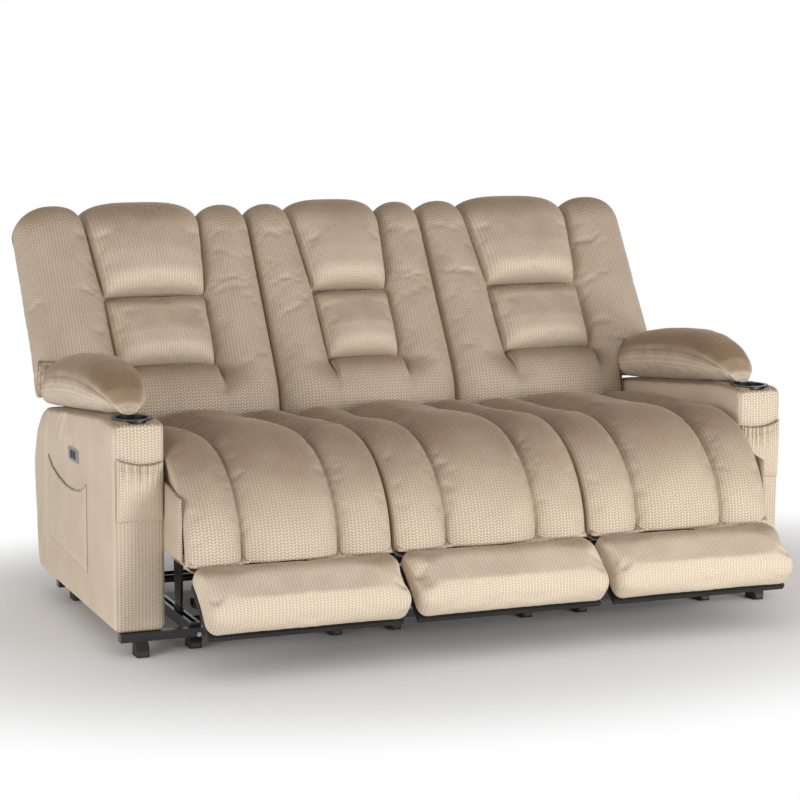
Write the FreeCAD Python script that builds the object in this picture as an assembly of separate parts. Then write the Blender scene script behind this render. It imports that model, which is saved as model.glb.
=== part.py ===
import FreeCAD, Part
import math
import os

# Three-seat reclining sofa. Millimetres, +X to the sitter's left hand seen from the front,
# +Y to the back, +Z up, z = 0 on the floor.
# Everything is built with y = 0 at the front face of the arms, and moved along Y
# at the end, so that the origin is under the middle of the whole sofa.

# Whole sofa
overall_width = 1960.0
arm_width = 137.5
seat_count = 3
floor_clearance = 61.0
side_gap = 2.5          # between a cushion and its neighbour or the arm
soft_gap = 0.3          # between a soft piece and what carries it
running_gap = 0.05      # radial clearance of a pin in its hole

# Arm
arm_length = 889.0
arm_height = 610.0
arm_flat_length = 135.0     # level stretch at the front, for the cup holder
arm_rear_height = 528.0
arm_rear_lean = 40.0
arm_nose_radius = 22.0
arm_shoulder_radius = 190.0
arm_padding = 14.0
arm_board = 18.0

# Arm pad
pad_front = 112.0
pad_rear = 806.0
pad_rise = 128.0
pad_overhang = 4.0

# Cup holder
cup_radius = 42.0
cup_wall = 2.5
cup_depth = 68.0
cup_rim_width = 9.0
cup_rim_height = 2.5
cup_centre_y = 64.0

# Control plate and its two buttons, on the outer side of each arm
plate_length = 104.0
plate_height = 36.0
plate_thick = 3.0
plate_centre_y = 405.0
plate_centre_z = 464.0
plate_box_depth = 18.0
plate_box_wall = 2.0
button_length = 16.0
button_height = 22.0
button_spacing = 30.0
button_travel = 2.0
button_proud = 2.5
button_stem = 6.0

# Pockets
front_pocket_top = 510.0
front_pocket_bottom = 356.0
front_pocket_depth = 15.0
pocket_cloth = 2.5
side_pocket_front = 270.0
side_pocket_rear = 700.0
side_pocket_bottom = 165.0
side_pocket_mouth = 385.0
side_pocket_depth = 9.0

# Seat cushion, side view
seat_front = -172.0
seat_top = 552.0
seat_rear = 650.0
seat_rear_top = 496.0
seat_lip = 262.0
seat_front_radius = 268.0
seat_foam = 94.0            # thickness of the front fall
deck_height = 375.0
channel_offset = 130.0      # sewn channels, from the middle of a seat
channel_depth = 26.0
channel_half_width = 16.0

# Seat frame
frame_x = 196.0             # middle of a side plate, from the middle of a seat
plate_steel = 6.0
bar_height = 48.0
front_board_thick = 18.0
rear_rail_depth = 30.0
rear_rail_y = 600.0
leg_length = 50.0
front_leg_y = 150.0
rear_leg_y = 520.0
shoe_width = 12.0
spring_wire = 2.0
spring_count = 5
spring_loops = 16
spring_swing = 25.0
spring_lead = 22.0
spring_spacing = 66.0

# Base of each mechanism
rail_width = 30.0
rail_height = 30.0
rail_bottom = 38.0
rail_front = 22.0
rail_rear = 660.0
groove_depth = 18.0
base_tube_radius = 11.0
stretcher_depth = 28.0
bolt_radius = 4.0
bolt_head = 6.5
bolt_length = 62.0
foot_width = 34.0
foot_length = 62.0
foot_y = 49.0

# Leg-rest linkage: pivots at rest, side view
lift_pivot = (35.0, 343.0)
knee_pivot = (120.0, 99.0)
toe_pivot = (-208.0, 137.0)
link_steel = 5.0
link_half_width = 14.0
link_x = 163.0              # inner face of the lift links
link_spacing = 3.0
pivot_radius = 6.0
torque_radius = 11.0
torque_pin = 8.0
crank_length = 60.0

# Footrest, side view: its upper edge and its slope below the level
foot_edge = (-189.0, 257.0)
foot_slope = 38.9
foot_length_along = 186.0
foot_crown = 43.0
foot_boxing = 45.0
foot_board = 15.0
footrest_gap = 8.0

# Motor of the leg rest
motor_width = 58.0
motor_height = 56.0
motor_front = 330.0
motor_rear = 560.0
rod_radius = 10.0
rod_length = 330.0
fork_gap = 20.0
fork_cheek = 6.0

# Back, side view: a straight crown line through this point, leaning back
back_point = (729.0, 661.0)
back_lean = 33.0
back_hinge = (740.0, 430.0)
back_hub = 80.0
back_top = 527.0            # along the lean, from the point
back_thick = 190.0
back_top_radius = 92.0
back_valley = 58.0
back_valley_half = 46.0
wing_reach = 148.0          # beyond the inner face of the arm
wing_bottom = 552.0
wing_front = 822.0
wing_shoulder = 668.0       # lower edge of the wing where it stands over the arm pad
wing_setback = 66.0
wing_slope = 150.0
head_bottom = 238.0
head_top_width = 372.0
head_low_width = 306.0
lumbar_width = 292.0
middle_narrower = 66.0
column_shift = 48.0         # the outer columns stand further out, towards their wings
recess_depth = 60.0
pad_crown = 22.0
stile_width = 18.0
stile_depth = 30.0
stile_x = 172.0
back_frame_depth = 150.0    # rear face of the stiles, behind the crown line
stile_low = -150.0          # ends of the stiles and heights of the rails, along the lean
stile_top_gap = 66.0
back_rail_height = 40.0
back_rail_low = -110.0
back_rail_middle = 150.0
bracket_half_width = 19.0

# Values that follow from those above
seat_pitch = (overall_width - 2.0 * arm_width) / seat_count
arm_inner = overall_width / 2.0 - arm_width
arm_middle = overall_width / 2.0 - arm_width / 2.0
cushion_half = seat_pitch / 2.0 - side_gap
stretcher_top = floor_clearance
rail_top = rail_bottom + rail_height
bar_bottom = lift_pivot[1] - bar_height / 2.0
bar_top = lift_pivot[1] + bar_height / 2.0
reach_x = link_x + link_steel + link_spacing
rod_height = lift_pivot[1] - crank_length
board_front = seat_front + seat_foam + soft_gap
SEATS = {"left": -seat_pitch, "middle": 0.0, "right": seat_pitch}
SIDES = {"left": -1.0, "right": 1.0}


def vec(x, y, z):
    return FreeCAD.Vector(x, y, z)


def box(x0, x1, y0, y1, z0, z1):
    low = vec(min(x0, x1), min(y0, y1), min(z0, z1))
    return Part.makeBox(abs(x1 - x0), abs(y1 - y0), abs(z1 - z0), low)


def rod_along_x(pivot, radius, x0, x1):
    start = vec(min(x0, x1), pivot[0], pivot[1])
    return Part.makeCylinder(radius, abs(x1 - x0), start, vec(1, 0, 0))


def hole_along_x(pivot, radius, x0, x1):
    """Cutter for a hole right through a wall between x0 and x1."""
    return rod_along_x(pivot, radius, min(x0, x1) - 1.0, max(x0, x1) + 1.0)


def rod_along_y(x, z, radius, y0, y1):
    return Part.makeCylinder(radius, y1 - y0, vec(x, y0, z), vec(0, 1, 0))


def rod_along_z(x, y, radius, z0, z1):
    return Part.makeCylinder(radius, z1 - z0, vec(x, y, z0), vec(0, 0, 1))


def unit(a, b):
    length = math.hypot(b[0] - a[0], b[1] - a[1])
    return ((b[0] - a[0]) / length, (b[1] - a[1]) / length, length)


def corner_cuts(corners, closed):
    """How far each corner's arc reaches along its two sides, shortened where two arcs would meet."""
    count = len(corners)
    cuts = []
    for i, corner in enumerate(corners):
        if not closed and i in (0, count - 1):
            cuts.append((0.0, 1.0))
            continue
        back = unit(corner, corners[i - 1])
        ahead = unit(corner, corners[(i + 1) % count])
        cosine = max(-1.0, min(1.0, back[0] * ahead[0] + back[1] * ahead[1]))
        half = math.acos(cosine) / 2.0
        radius = corner[2] if len(corner) > 2 else 0.0
        cuts.append((radius / math.tan(half), half))
    scale = [1.0] * count
    for i in range(count if closed else count - 1):
        j = (i + 1) % count
        side = unit(corners[i], corners[j])[2]
        wanted = cuts[i][0] + cuts[j][0]
        if wanted > side:
            share = 0.999 * side / wanted
            scale[i] = min(scale[i], share)
            scale[j] = min(scale[j], share)
    return [(cut * scale[i], half) for i, (cut, half) in enumerate(cuts)]


def rounded_edges(corners, place, closed=True):
    """Edges through the corners (a, b, radius), each corner rounded by its own radius."""
    count = len(corners)
    cuts = corner_cuts(corners, closed)
    edges = []
    ends = []
    for i, corner in enumerate(corners):
        cut, half = cuts[i]
        if cut < 1e-6:
            ends.append((corner[:2], corner[:2]))
            continue
        back = unit(corner, corners[i - 1])
        ahead = unit(corner, corners[(i + 1) % count])
        first = (corner[0] + back[0] * cut, corner[1] + back[1] * cut)
        last = (corner[0] + ahead[0] * cut, corner[1] + ahead[1] * cut)
        radius = cut * math.tan(half)
        middle = unit((0.0, 0.0), (back[0] + ahead[0], back[1] + ahead[1]))
        reach = radius / math.sin(half) - radius
        top = (corner[0] + middle[0] * reach, corner[1] + middle[1] * reach)
        edges.append((i, Part.Arc(place(*first), place(*top), place(*last)).toShape()))
        ends.append((first, last))
    for i in range(count if closed else count - 1):
        start = place(*ends[i][1])
        stop = place(*ends[(i + 1) % count][0])
        if start.distanceToPoint(stop) > 1e-4:
            edges.append((i + 0.5, Part.makeLine(start, stop)))
    return [edge for _, edge in sorted(edges, key=lambda pair: pair[0])]


def prism(corners, x0, x1):
    """Side-view outline of (y, z, radius) corners, carried from x0 to x1."""
    left, right = min(x0, x1), max(x0, x1)
    edges = rounded_edges(corners, lambda y, z: vec(left, y, z))
    face = Part.Face(Part.Wire(edges))
    return face.extrude(vec(right - left, 0, 0))


def link_plate(start, stop, half_width, x0, x1):
    """Flat bar with round ends between two pivots."""
    along = unit(start, stop)
    side = (-along[1] * half_width, along[0] * half_width)
    corners = [(start[0] + side[0], start[1] + side[1]), (stop[0] + side[0], stop[1] + side[1]),
               (stop[0] - side[0], stop[1] - side[1]), (start[0] - side[0], start[1] - side[1])]
    plate = prism(corners, x0, x1)
    for pivot in (start, stop):
        plate = plate.fuse(rod_along_x(pivot, half_width, x0, x1))
    return plate.removeSplitter()


def valley(corners, x, depth, half_width):
    """V-shaped groove along a side-view path, cut inwards from the path's left-hand side."""
    path = Part.Wire(rounded_edges(corners, lambda y, z: vec(x, y, z), closed=False))
    along = unit(corners[0], corners[1])
    out = (-along[1], along[0])
    start = corners[0]
    lift = 4.0
    wide = half_width * (depth + lift) / depth
    ridge = vec(x, start[0] - out[0] * depth, start[1] - out[1] * depth)
    left = vec(x - wide, start[0] + out[0] * lift, start[1] + out[1] * lift)
    right = vec(x + wide, start[0] + out[0] * lift, start[1] + out[1] * lift)
    section = Part.Wire(Part.makePolygon([ridge, left, right, ridge]).Edges)
    return path.makePipeShell([section], True, False)


def compound(shapes):
    return Part.makeCompound(list(shapes))


def back_place(along, out):
    """Point of the back: so far up the lean, and so far out in front of the crown line."""
    lean = math.radians(back_lean)
    y = back_point[0] + along * math.sin(lean) - out * math.cos(lean)
    z = back_point[1] + along * math.cos(lean) + out * math.sin(lean)
    return (y, z)


def foot_place(along, out):
    """Point of the footrest: so far down its face from the upper edge, and so far out of it."""
    slope = math.radians(foot_slope)
    y = foot_edge[0] - along * math.cos(slope) - out * math.sin(slope)
    z = foot_edge[1] - along * math.sin(slope) + out * math.cos(slope)
    return (y, z)


# Base: stretchers, rails, feet and bolts

def make_stretchers():
    reach = overall_width / 2.0 - arm_padding
    front = box(-reach, reach, rail_front - stretcher_depth, rail_front, rail_bottom, stretcher_top)
    rear = box(-reach, reach, rail_rear, rail_rear + stretcher_depth, rail_bottom, stretcher_top)
    return compound(bar.cut(compound(bolt_holes())) for bar in (front, rear))


def bolt_places():
    """Middle of each bolt, and which way its head points."""
    height = rail_bottom + (rail_height - groove_depth) / 2.0
    for centre in SEATS.values():
        for side in (-1.0, 1.0):
            x = centre + side * frame_x
            yield x, rail_front - stretcher_depth, -1.0, height
            yield x, rail_rear + stretcher_depth, 1.0, height


def bolt_holes():
    for x, y, way, z in bolt_places():
        end = y - way * (bolt_length + 2.0)
        yield rod_along_y(x, z, bolt_radius + running_gap, min(y, end), max(y, end))


def make_bolts():
    bolts = []
    for x, y, way, z in bolt_places():
        end = y - way * bolt_length
        shank = rod_along_y(x, z, bolt_radius, min(y, end), max(y, end))
        corners = [(bolt_head * math.cos(math.radians(60 * i)), bolt_head * math.sin(math.radians(60 * i)))
                   for i in range(6)]
        ring = [vec(x + a, y, z + b) for a, b in corners]
        head = Part.Face(Part.makePolygon(ring + ring[:1])).extrude(vec(0, way * bolt_radius, 0))
        bolts.append(shank.fuse(head))
    return compound(bolts)


def make_foot(x, y):
    toe, heel = y - foot_length * 0.62, y + foot_length * 0.38
    corners = [(toe, 5.0, 3.0), (toe + 8.0, 0.0, 2.0), (heel, 0.0, 3.0), (heel, 9.0, 4.0),
               (y + 15.0, rail_bottom), (y - 15.0, rail_bottom), (toe + 4.0, 16.0, 7.0)]
    shoe = prism(corners, x - foot_width / 2.0, x + foot_width / 2.0)
    plan = [(x - foot_width / 2.0, toe, 14.0), (x + foot_width / 2.0, toe, 14.0),
            (x + foot_width / 2.0, heel, 10.0), (x - foot_width / 2.0, heel, 10.0)]
    edges = rounded_edges(plan, lambda a, b: vec(a, b, 0.0))
    return shoe.common(Part.Face(Part.Wire(edges)).extrude(vec(0, 0, rail_bottom)))


def make_feet():
    rear_y = rail_rear - foot_y + rail_front
    places = [(centre + side * frame_x, y) for centre in SEATS.values()
              for side in (-1.0, 1.0) for y in (foot_y, rear_y)]
    under_arm = rail_front - stretcher_depth / 2.0
    under_rear = rail_rear + stretcher_depth / 2.0
    places += [(side * arm_middle, y) for side in SIDES.values() for y in (under_arm, under_rear)]
    return compound(make_foot(x, y) for x, y in places)


def make_base(centre):
    solids = []
    slot = shoe_width / 2.0 + running_gap
    for side in (-1.0, 1.0):
        x = centre + side * frame_x
        rail = box(x - rail_width / 2.0, x + rail_width / 2.0, rail_front, rail_rear, rail_bottom, rail_top)
        rail = rail.cut(box(x - slot, x + slot, rail_front + 12.0, rail_rear - 12.0,
                            rail_top - groove_depth, rail_top + 1.0))
        solids.append(rail.cut(compound(bolt_holes())))
    inner = frame_x - rail_width / 2.0
    for y in (rail_front + 95.0, rail_rear - 60.0):
        pivot = (y, rail_bottom + rail_height / 2.0)
        solids.append(rod_along_x(pivot, base_tube_radius, centre - inner, centre + inner))
    return compound(solids)


# Seat frame, springs and cushion

def side_plate(centre, side):
    x0 = centre + side * frame_x - plate_steel / 2.0
    x1 = x0 + plate_steel
    bar_end = rear_rail_y + rear_rail_depth
    plate = box(x0, x1, board_front + front_board_thick, bar_end, bar_bottom, bar_top)
    arm_root = (bar_end, bar_bottom + link_half_width + 2.0)
    plate = plate.fuse(link_plate(arm_root, back_hinge, link_half_width, x0, x1))
    for y in (front_leg_y, rear_leg_y):
        leg = [(y, rail_top + 8.0), (y + leg_length, rail_top + 8.0),
               (y + leg_length + 22.0, bar_bottom + 4.0), (y - 22.0, bar_bottom + 4.0)]
        plate = plate.fuse(prism(leg, x0, x1))
        middle = centre + side * frame_x
        shoe = box(middle - shoe_width / 2.0, middle + shoe_width / 2.0, y, y + leg_length,
                   rail_top - groove_depth + running_gap, rail_top + 10.0)
        plate = plate.fuse(shoe)
    for pivot, radius in ((lift_pivot, torque_pin), (back_hinge, torque_pin)):
        plate = plate.cut(hole_along_x(pivot, radius + running_gap, x0, x1))
    return plate.removeSplitter()


def make_seat_frame(centre):
    reach = cushion_half - 4.0
    board = box(centre - reach, centre + reach, board_front, board_front + front_board_thick,
                seat_lip + 4.0, deck_height - soft_gap)
    inner = frame_x - plate_steel / 2.0
    rail = box(centre - inner, centre + inner, rear_rail_y, rear_rail_y + rear_rail_depth,
               bar_bottom + 6.0, deck_height - soft_gap)
    hanger_front = motor_rear - 30.0
    hanger = box(centre - 15.0, centre + 15.0, motor_rear, rear_rail_y,
                 rod_height - motor_height / 2.0, bar_bottom + 30.0)
    post = box(centre - 15.0, centre + 15.0, hanger_front, rear_rail_y,
               rod_height + motor_height / 2.0, bar_bottom + 30.0)
    return compound([board, side_plate(centre, -1.0), side_plate(centre, 1.0), rail, hanger.fuse(post)])


def make_spring(x, start, stop, height):
    """Zigzag spring: cross bars joined by half circles, with a straight end fore and aft."""
    radius = (stop - start - 2.0 * spring_lead) / (2.0 * spring_loops + 2.0)
    bar = spring_swing - radius
    turn = radius * math.sqrt(0.5)
    y = start + spring_lead
    edges = [Part.makeLine(vec(x, start, height), vec(x, y, height))]
    bend = vec(x + radius - turn, y + turn, height)
    edges.append(Part.Arc(vec(x, y, height), bend, vec(x + radius, y + radius, height)).toShape())
    y += radius
    at = x + radius
    side = 1.0
    for _ in range(spring_loops):
        across = x + side * bar
        edges.append(Part.makeLine(vec(at, y, height), vec(across, y, height)))
        edges.append(Part.Arc(vec(across, y, height), vec(across + side * radius, y + radius, height),
                              vec(across, y + 2.0 * radius, height)).toShape())
        y += 2.0 * radius
        at = across
        side = -side
    across = x - side * radius
    edges.append(Part.makeLine(vec(at, y, height), vec(across, y, height)))
    bend = vec(x - side * (radius - turn), y + radius - turn, height)
    edges.append(Part.Arc(vec(across, y, height), bend, vec(x, y + radius, height)).toShape())
    edges.append(Part.makeLine(vec(x, y + radius, height), vec(x, stop, height)))
    ring = Part.Wire(Part.makeCircle(spring_wire, vec(x, start, height), vec(0, 1, 0)))
    return Part.Wire(edges).makePipeShell([ring], True, False)


def make_springs(centre):
    height = deck_height - soft_gap - 2.0 * spring_wire
    start = board_front + front_board_thick
    half = (spring_count - 1) / 2.0
    return compound(make_spring(centre + (i - half) * spring_spacing, start, rear_rail_y, height)
                    for i in range(spring_count))


def seat_outline():
    inner = seat_front + seat_foam
    return [(seat_rear, deck_height, 10.0), (seat_rear, seat_rear_top, 30.0),
            (seat_front, seat_top, seat_front_radius), (seat_front, seat_lip, 16.0),
            (inner, seat_lip, 6.0), (inner, deck_height)]


def make_seat_cushion(centre):
    cushion = prism(seat_outline(), centre - cushion_half, centre + cushion_half)
    path = [(seat_rear + 5.0, seat_rear_top), (seat_front, seat_top, seat_front_radius),
            (seat_front, seat_lip - 5.0)]
    path.reverse()
    for x in (-cushion_half, -channel_offset, channel_offset, cushion_half):
        cushion = cushion.cut(valley(path, centre + x, channel_depth, channel_half_width))
    return cushion


# Leg rest

def make_lift_links(centre):
    solids = []
    for side in (-1.0, 1.0):
        x0 = centre + side * link_x
        x1 = centre + side * (link_x + link_steel)
        end = centre + side * (reach_x + link_steel + 1.0)
        plate = link_plate(lift_pivot, knee_pivot, link_half_width, x0, x1)
        plate = plate.cut(hole_along_x(lift_pivot, torque_pin, x0, x1))
        plate = plate.fuse(rod_along_x(knee_pivot, pivot_radius, x0, end))
        cap = centre + side * (reach_x + link_steel + 3.0)
        plate = plate.fuse(rod_along_x(knee_pivot, pivot_radius + 3.0, end, cap))
        solids.append(plate)
    reach = frame_x + plate_steel / 2.0 + 3.0
    tube = rod_along_x(lift_pivot, torque_radius, centre - link_x, centre + link_x)
    tube = tube.fuse(rod_along_x(lift_pivot, torque_pin, centre - reach, centre + reach))
    crank_end = (lift_pivot[0], lift_pivot[1] - crank_length)
    tube = tube.fuse(link_plate(lift_pivot, crank_end, 13.0, centre - 4.0, centre + 4.0))
    pin = fork_gap / 2.0 - 1.0
    tube = tube.fuse(rod_along_x(crank_end, pivot_radius, centre - pin, centre + pin))
    solids.append(tube)
    return compound(solids)


def make_reach_links(centre):
    solids = []
    for side in (-1.0, 1.0):
        x0 = centre + side * reach_x
        x1 = centre + side * (reach_x + link_steel)
        plate = link_plate(knee_pivot, toe_pivot, link_half_width, x0, x1)
        plate = plate.cut(hole_along_x(knee_pivot, pivot_radius + running_gap, x0, x1))
        inner = centre + side * (link_x - 1.0)
        plate = plate.fuse(rod_along_x(toe_pivot, pivot_radius, inner, x0))
        cap = centre + side * (link_x - 3.0)
        plate = plate.fuse(rod_along_x(toe_pivot, pivot_radius + 3.0, cap, inner))
        solids.append(plate)
    return compound(solids)


def foot_corners(points):
    return [(*foot_place(point[0], point[1]), *point[2:]) for point in points]


def make_footrest_frame(centre):
    half = seat_pitch / 2.0 - footrest_gap - 12.0
    low = -foot_boxing - foot_board
    board = prism(foot_corners([(4.0, -foot_boxing), (foot_length_along - 6.0, -foot_boxing),
                                (foot_length_along - 6.0, low), (4.0, low)]), centre - half, centre + half)
    solids = [board]
    for side in (-1.0, 1.0):
        x0 = centre + side * link_x
        x1 = centre + side * (link_x + link_steel)
        base = [foot_place(45.0, low), foot_place(135.0, low)]
        web = prism([base[0], base[1], (toe_pivot[0] - 9.0, toe_pivot[1] - 9.0),
                     (toe_pivot[0] + 9.0, toe_pivot[1] - 4.0)], x0, x1)
        web = web.fuse(rod_along_x(toe_pivot, link_half_width, x0, x1)).cut(board)
        solids.append(web.cut(hole_along_x(toe_pivot, pivot_radius + running_gap, x0, x1)))
    return compound(solids)


def make_footrest_pad(centre):
    half = seat_pitch / 2.0 - footrest_gap
    low = -foot_boxing + soft_gap
    end = foot_length_along
    profile = [(-4.0, low, 8.0), (-4.0, 8.0, 24.0), (50.0, foot_crown, 70.0),
               (end, foot_crown + 2.0, 34.0), (end - 4.0, low, 12.0)]
    return prism(foot_corners(profile), centre - half, centre + half).common(foot_plan(centre, half))


def foot_plan(centre, half):
    """Plan outline of the footrest pad, with round corners, as thick as the pad."""
    slope = math.radians(foot_slope)
    low, high = -foot_boxing - 5.0, foot_crown + 10.0

    def place(x, along):
        y, z = foot_place(along, low)
        return vec(x, y, z)

    end = foot_length_along + 4.0
    corners = [(centre - half, -8.0, 26.0), (centre + half, -8.0, 26.0),
               (centre + half, end, 34.0), (centre - half, end, 34.0)]
    out = vec(0.0, -math.sin(slope), math.cos(slope)) * (high - low)
    return Part.Face(Part.Wire(rounded_edges(corners, place))).extrude(out)


# Motor

def make_motor(centre):
    half = motor_width / 2.0
    low, high = rod_height - motor_height / 2.0, rod_height + motor_height / 2.0
    corners = [(motor_front, low, 8.0), (motor_rear, low, 8.0), (motor_rear, high, 8.0), (motor_front, high, 8.0)]
    case = prism(corners, centre - half, centre + half)
    drum = rod_along_x((motor_rear - 45.0, rod_height - 8.0), 32.0, centre + half - 2.0, centre + half + 62.0)
    case = case.fuse(drum)
    bore_end = rod_end_y() + 70.0
    return case.cut(rod_along_y(centre, rod_height, rod_radius + running_gap, motor_front - 1.0, bore_end))


def rod_end_y():
    return lift_pivot[0] + 25.0 + rod_length


def make_rod(centre):
    start = lift_pivot[0] + 25.0
    rod = rod_along_y(centre, rod_height, rod_radius, start + 10.0, rod_end_y())
    outer = fork_gap / 2.0 + fork_cheek
    base = box(centre - outer, centre + outer, start, start + 15.0, rod_height - 16.0, rod_height + 16.0)
    rod = rod.fuse(base)
    for side in (-1.0, 1.0):
        inner = centre + side * fork_gap / 2.0
        rod = rod.fuse(box(inner, inner + side * fork_cheek, lift_pivot[0] - 18.0, start + 1.0,
                           rod_height - 16.0, rod_height + 16.0))
    return rod.removeSplitter()


# Back

def back_corners(points):
    return [(*back_place(point[0], point[1]), *point[2:]) for point in points]


def back_outline():
    hub_y, hub_z = back_hinge
    rear_top = back_place(back_top + 16.0, -back_thick)
    rear_low = back_place(-95.0, -back_thick)
    front = [(hub_y - back_hub, hub_z - back_hub, back_hub - 2.0), (hub_y - back_hub + 14.0, 548.0, 130.0)]
    crown = [(*back_place(0.0, 0.0), 120.0), (*back_place(back_top, 4.0), back_top_radius)]
    rear = [(*rear_top, 70.0), (*rear_low, 120.0), (rear_low[0] - 6.0, hub_z - back_hub, 20.0)]
    return front + crown + rear


def back_valley_path():
    """Front and top of the back, from its lower end to the rear of its top."""
    outline = back_outline()
    low = (outline[0][0], outline[0][1] + 6.0)
    return [low, outline[1], outline[2], outline[3], outline[4][:2]]


def arm_zone(side):
    """Space over and behind an arm and its pad that an outer back leaves free."""
    corners = [(arm_flat_length, 0.0), (arm_flat_length, wing_shoulder), (wing_front + 20.0, wing_shoulder, 20.0),
               (wing_front, wing_bottom, 20.0), (2.0 * arm_length, wing_bottom), (2.0 * arm_length, 0.0)]
    return prism(corners, side * (arm_inner - side_gap), side * overall_width)


def make_back_cushion(name):
    centre = SEATS[name]
    left, right = centre - cushion_half, centre + cushion_half
    cuts = [(left, back_valley, back_valley_half), (right, back_valley, back_valley_half)]
    if name == "left":
        left = -arm_inner - wing_reach
        cuts[0] = (left, wing_setback, wing_slope)
    if name == "right":
        right = arm_inner + wing_reach
        cuts[1] = (right, wing_setback, wing_slope)
    cushion = prism(back_outline(), left, right)
    for x, depth, half_width in cuts:
        cushion = cushion.cut(valley(back_valley_path(), x, depth, half_width))
    if name in SIDES:
        cushion = cushion.cut(arm_zone(SIDES[name]))
    cushion = cushion.cut(back_recess(name))
    cushion = cushion.cut(frame_cavity(centre))
    return cushion.cut(hinge_slots(centre))


def column_centre(name):
    """Middle of a back's column of pads, which the wing of an outer back draws outwards."""
    return SEATS[name] + SIDES.get(name, 0.0) * column_shift


def column(name, margin, low, high, widths, outs):
    """Upright column on the face of a back, wider at its top, between two depths."""
    centre = column_centre(name)
    lower, upper = widths
    near, far = outs

    def place(x, along):
        y, z = back_place(along, far)
        return vec(x, y, z)

    points = [(centre - lower / 2.0 - margin, low), (centre + lower / 2.0 + margin, low),
              (centre + upper / 2.0 + margin, high), (centre - upper / 2.0 - margin, high)]
    lean = math.radians(back_lean)
    out = vec(0.0, -math.cos(lean), math.sin(lean)) * (near - far)
    return Part.Face(Part.Wire(rounded_edges(points, place))).extrude(out)


def pad_widths(name):
    less = middle_narrower if name == "middle" else 0.0
    return lumbar_width - less, head_low_width - less, head_top_width - less


def back_recess(name):
    lumbar, low, high = pad_widths(name)
    deep = -recess_depth
    lower = column(name, soft_gap, 0.0, head_bottom, (lumbar, low), (60.0, deep))
    upper = column(name, soft_gap, head_bottom, back_top - 40.0, (low, high), (60.0, deep))
    return lower.fuse(upper)


def make_back_pads(name):
    lumbar, low, high = pad_widths(name)
    centre = column_centre(name)
    half = high
    deep = -recess_depth + soft_gap
    head_end = back_top + 6.0
    head = [(head_bottom + 2.0, deep, 4.0), (head_bottom + 2.0, pad_crown + 8.0, 55.0),
            (head_end, pad_crown, 78.0), (head_end, -back_valley * 0.9, 4.0),
            (back_top - 40.0 - soft_gap, -back_valley * 0.9), (back_top - 40.0 - soft_gap, deep)]
    rest = [(soft_gap, deep, 4.0), (soft_gap, pad_crown + 4.0, 50.0),
            (head_bottom - 2.0, pad_crown + 4.0, 50.0), (head_bottom - 2.0, deep, 4.0)]
    pads = []
    for profile, span, widths in ((head, (head_bottom, head_end + 10.0), (low, high)),
                                  (rest, (0.0, head_bottom), (lumbar, low))):
        solid = prism(back_corners(profile), centre - half, centre + half)
        pads.append(solid.common(column(name, 0.0, *span, widths, (90.0, -90.0))))
    shell = prism(back_outline(), centre - half, centre + half).cut(back_recess(name))
    return compound([pads[0].cut(shell), pads[1]])


def back_bar(x0, x1, low, high, margin):
    """Straight bar of the back's ladder frame, between two heights along the lean."""
    near, far = -back_frame_depth + stile_depth + margin, -back_frame_depth - margin
    corners = [(low - margin, far), (low - margin, near), (high + margin, near), (high + margin, far)]
    return prism(back_corners(corners), x0 - margin, x1 + margin)


def back_stile(centre, side, margin):
    x0, x1 = centre + side * stile_x, centre + side * (stile_x + stile_width)
    return back_bar(min(x0, x1), max(x0, x1), stile_low, back_top - stile_top_gap, margin)


def back_rails(centre, margin):
    top = back_top - stile_top_gap - back_rail_height
    for low in (back_rail_low, back_rail_middle, top):
        yield back_bar(centre - stile_x, centre + stile_x, low, low + back_rail_height, margin)


def frame_cavity(centre):
    """Room in the foam for the ladder frame."""
    stiles = [back_stile(centre, side, soft_gap) for side in (-1.0, 1.0)]
    return compound(stiles + list(back_rails(centre, soft_gap)))


def hinge_slots(centre):
    slots = []
    for side in (-1.0, 1.0):
        x0 = centre + side * (stile_x + stile_width - 9.0)
        x1 = centre + side * (frame_x + plate_steel / 2.0 + 8.0)
        slots.append(box(x0, x1, back_hinge[0] - back_hub - 20.0, back_hinge[0] + back_hub - 18.0,
                         back_hinge[1] - back_hub - 5.0, back_hinge[1] + back_hub))
    return compound(slots)


def make_back_frame(centre):
    solids = list(back_rails(centre, 0.0))
    outer = stile_x + stile_width
    root = back_place(stile_low + bracket_half_width, -back_frame_depth + stile_depth / 2.0)
    for side in (-1.0, 1.0):
        x1 = centre + side * outer
        bracket = link_plate(root, back_hinge, bracket_half_width, x1 - side * plate_steel, x1)
        pin_end = centre + side * (frame_x + plate_steel / 2.0 + 3.0)
        pin = rod_along_x(back_hinge, torque_pin, x1, pin_end)
        solids.append(back_stile(centre, side, 0.0).fuse(bracket).fuse(pin).removeSplitter())
    return compound(solids)


# Arms

def arm_outline(inset, bottom):
    rear = arm_length - inset
    fall = (arm_height - arm_rear_height) / (arm_length - arm_flat_length)
    top = arm_height - inset
    return [(inset, bottom), (inset, top, max(arm_nose_radius - inset, 4.0)),
            (arm_flat_length, top, 300.0), (rear + arm_rear_lean / 2.0, top - fall * (rear - arm_flat_length),
                                            arm_shoulder_radius - inset),
            (rear - arm_rear_lean, bottom)]


def arm_top(y):
    fall = (arm_height - arm_rear_height) / (arm_length + arm_rear_lean / 2.0 - arm_flat_length)
    return arm_height - max(0.0, y - arm_flat_length) * fall


def cup_hole(side, radius):
    return rod_along_z(side * arm_middle, cup_centre_y, radius, arm_height - cup_depth - 10.0, arm_height + 5.0)


def plate_hole(side, margin):
    outer = side * overall_width / 2.0
    half = plate_length / 2.0 - 6.0 + margin
    tall = plate_height / 2.0 - 5.0 + margin
    depth = plate_box_depth + margin
    return box(outer + side, outer - side * depth, plate_centre_y - half, plate_centre_y + half,
               plate_centre_z - tall, plate_centre_z + tall)


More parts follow.
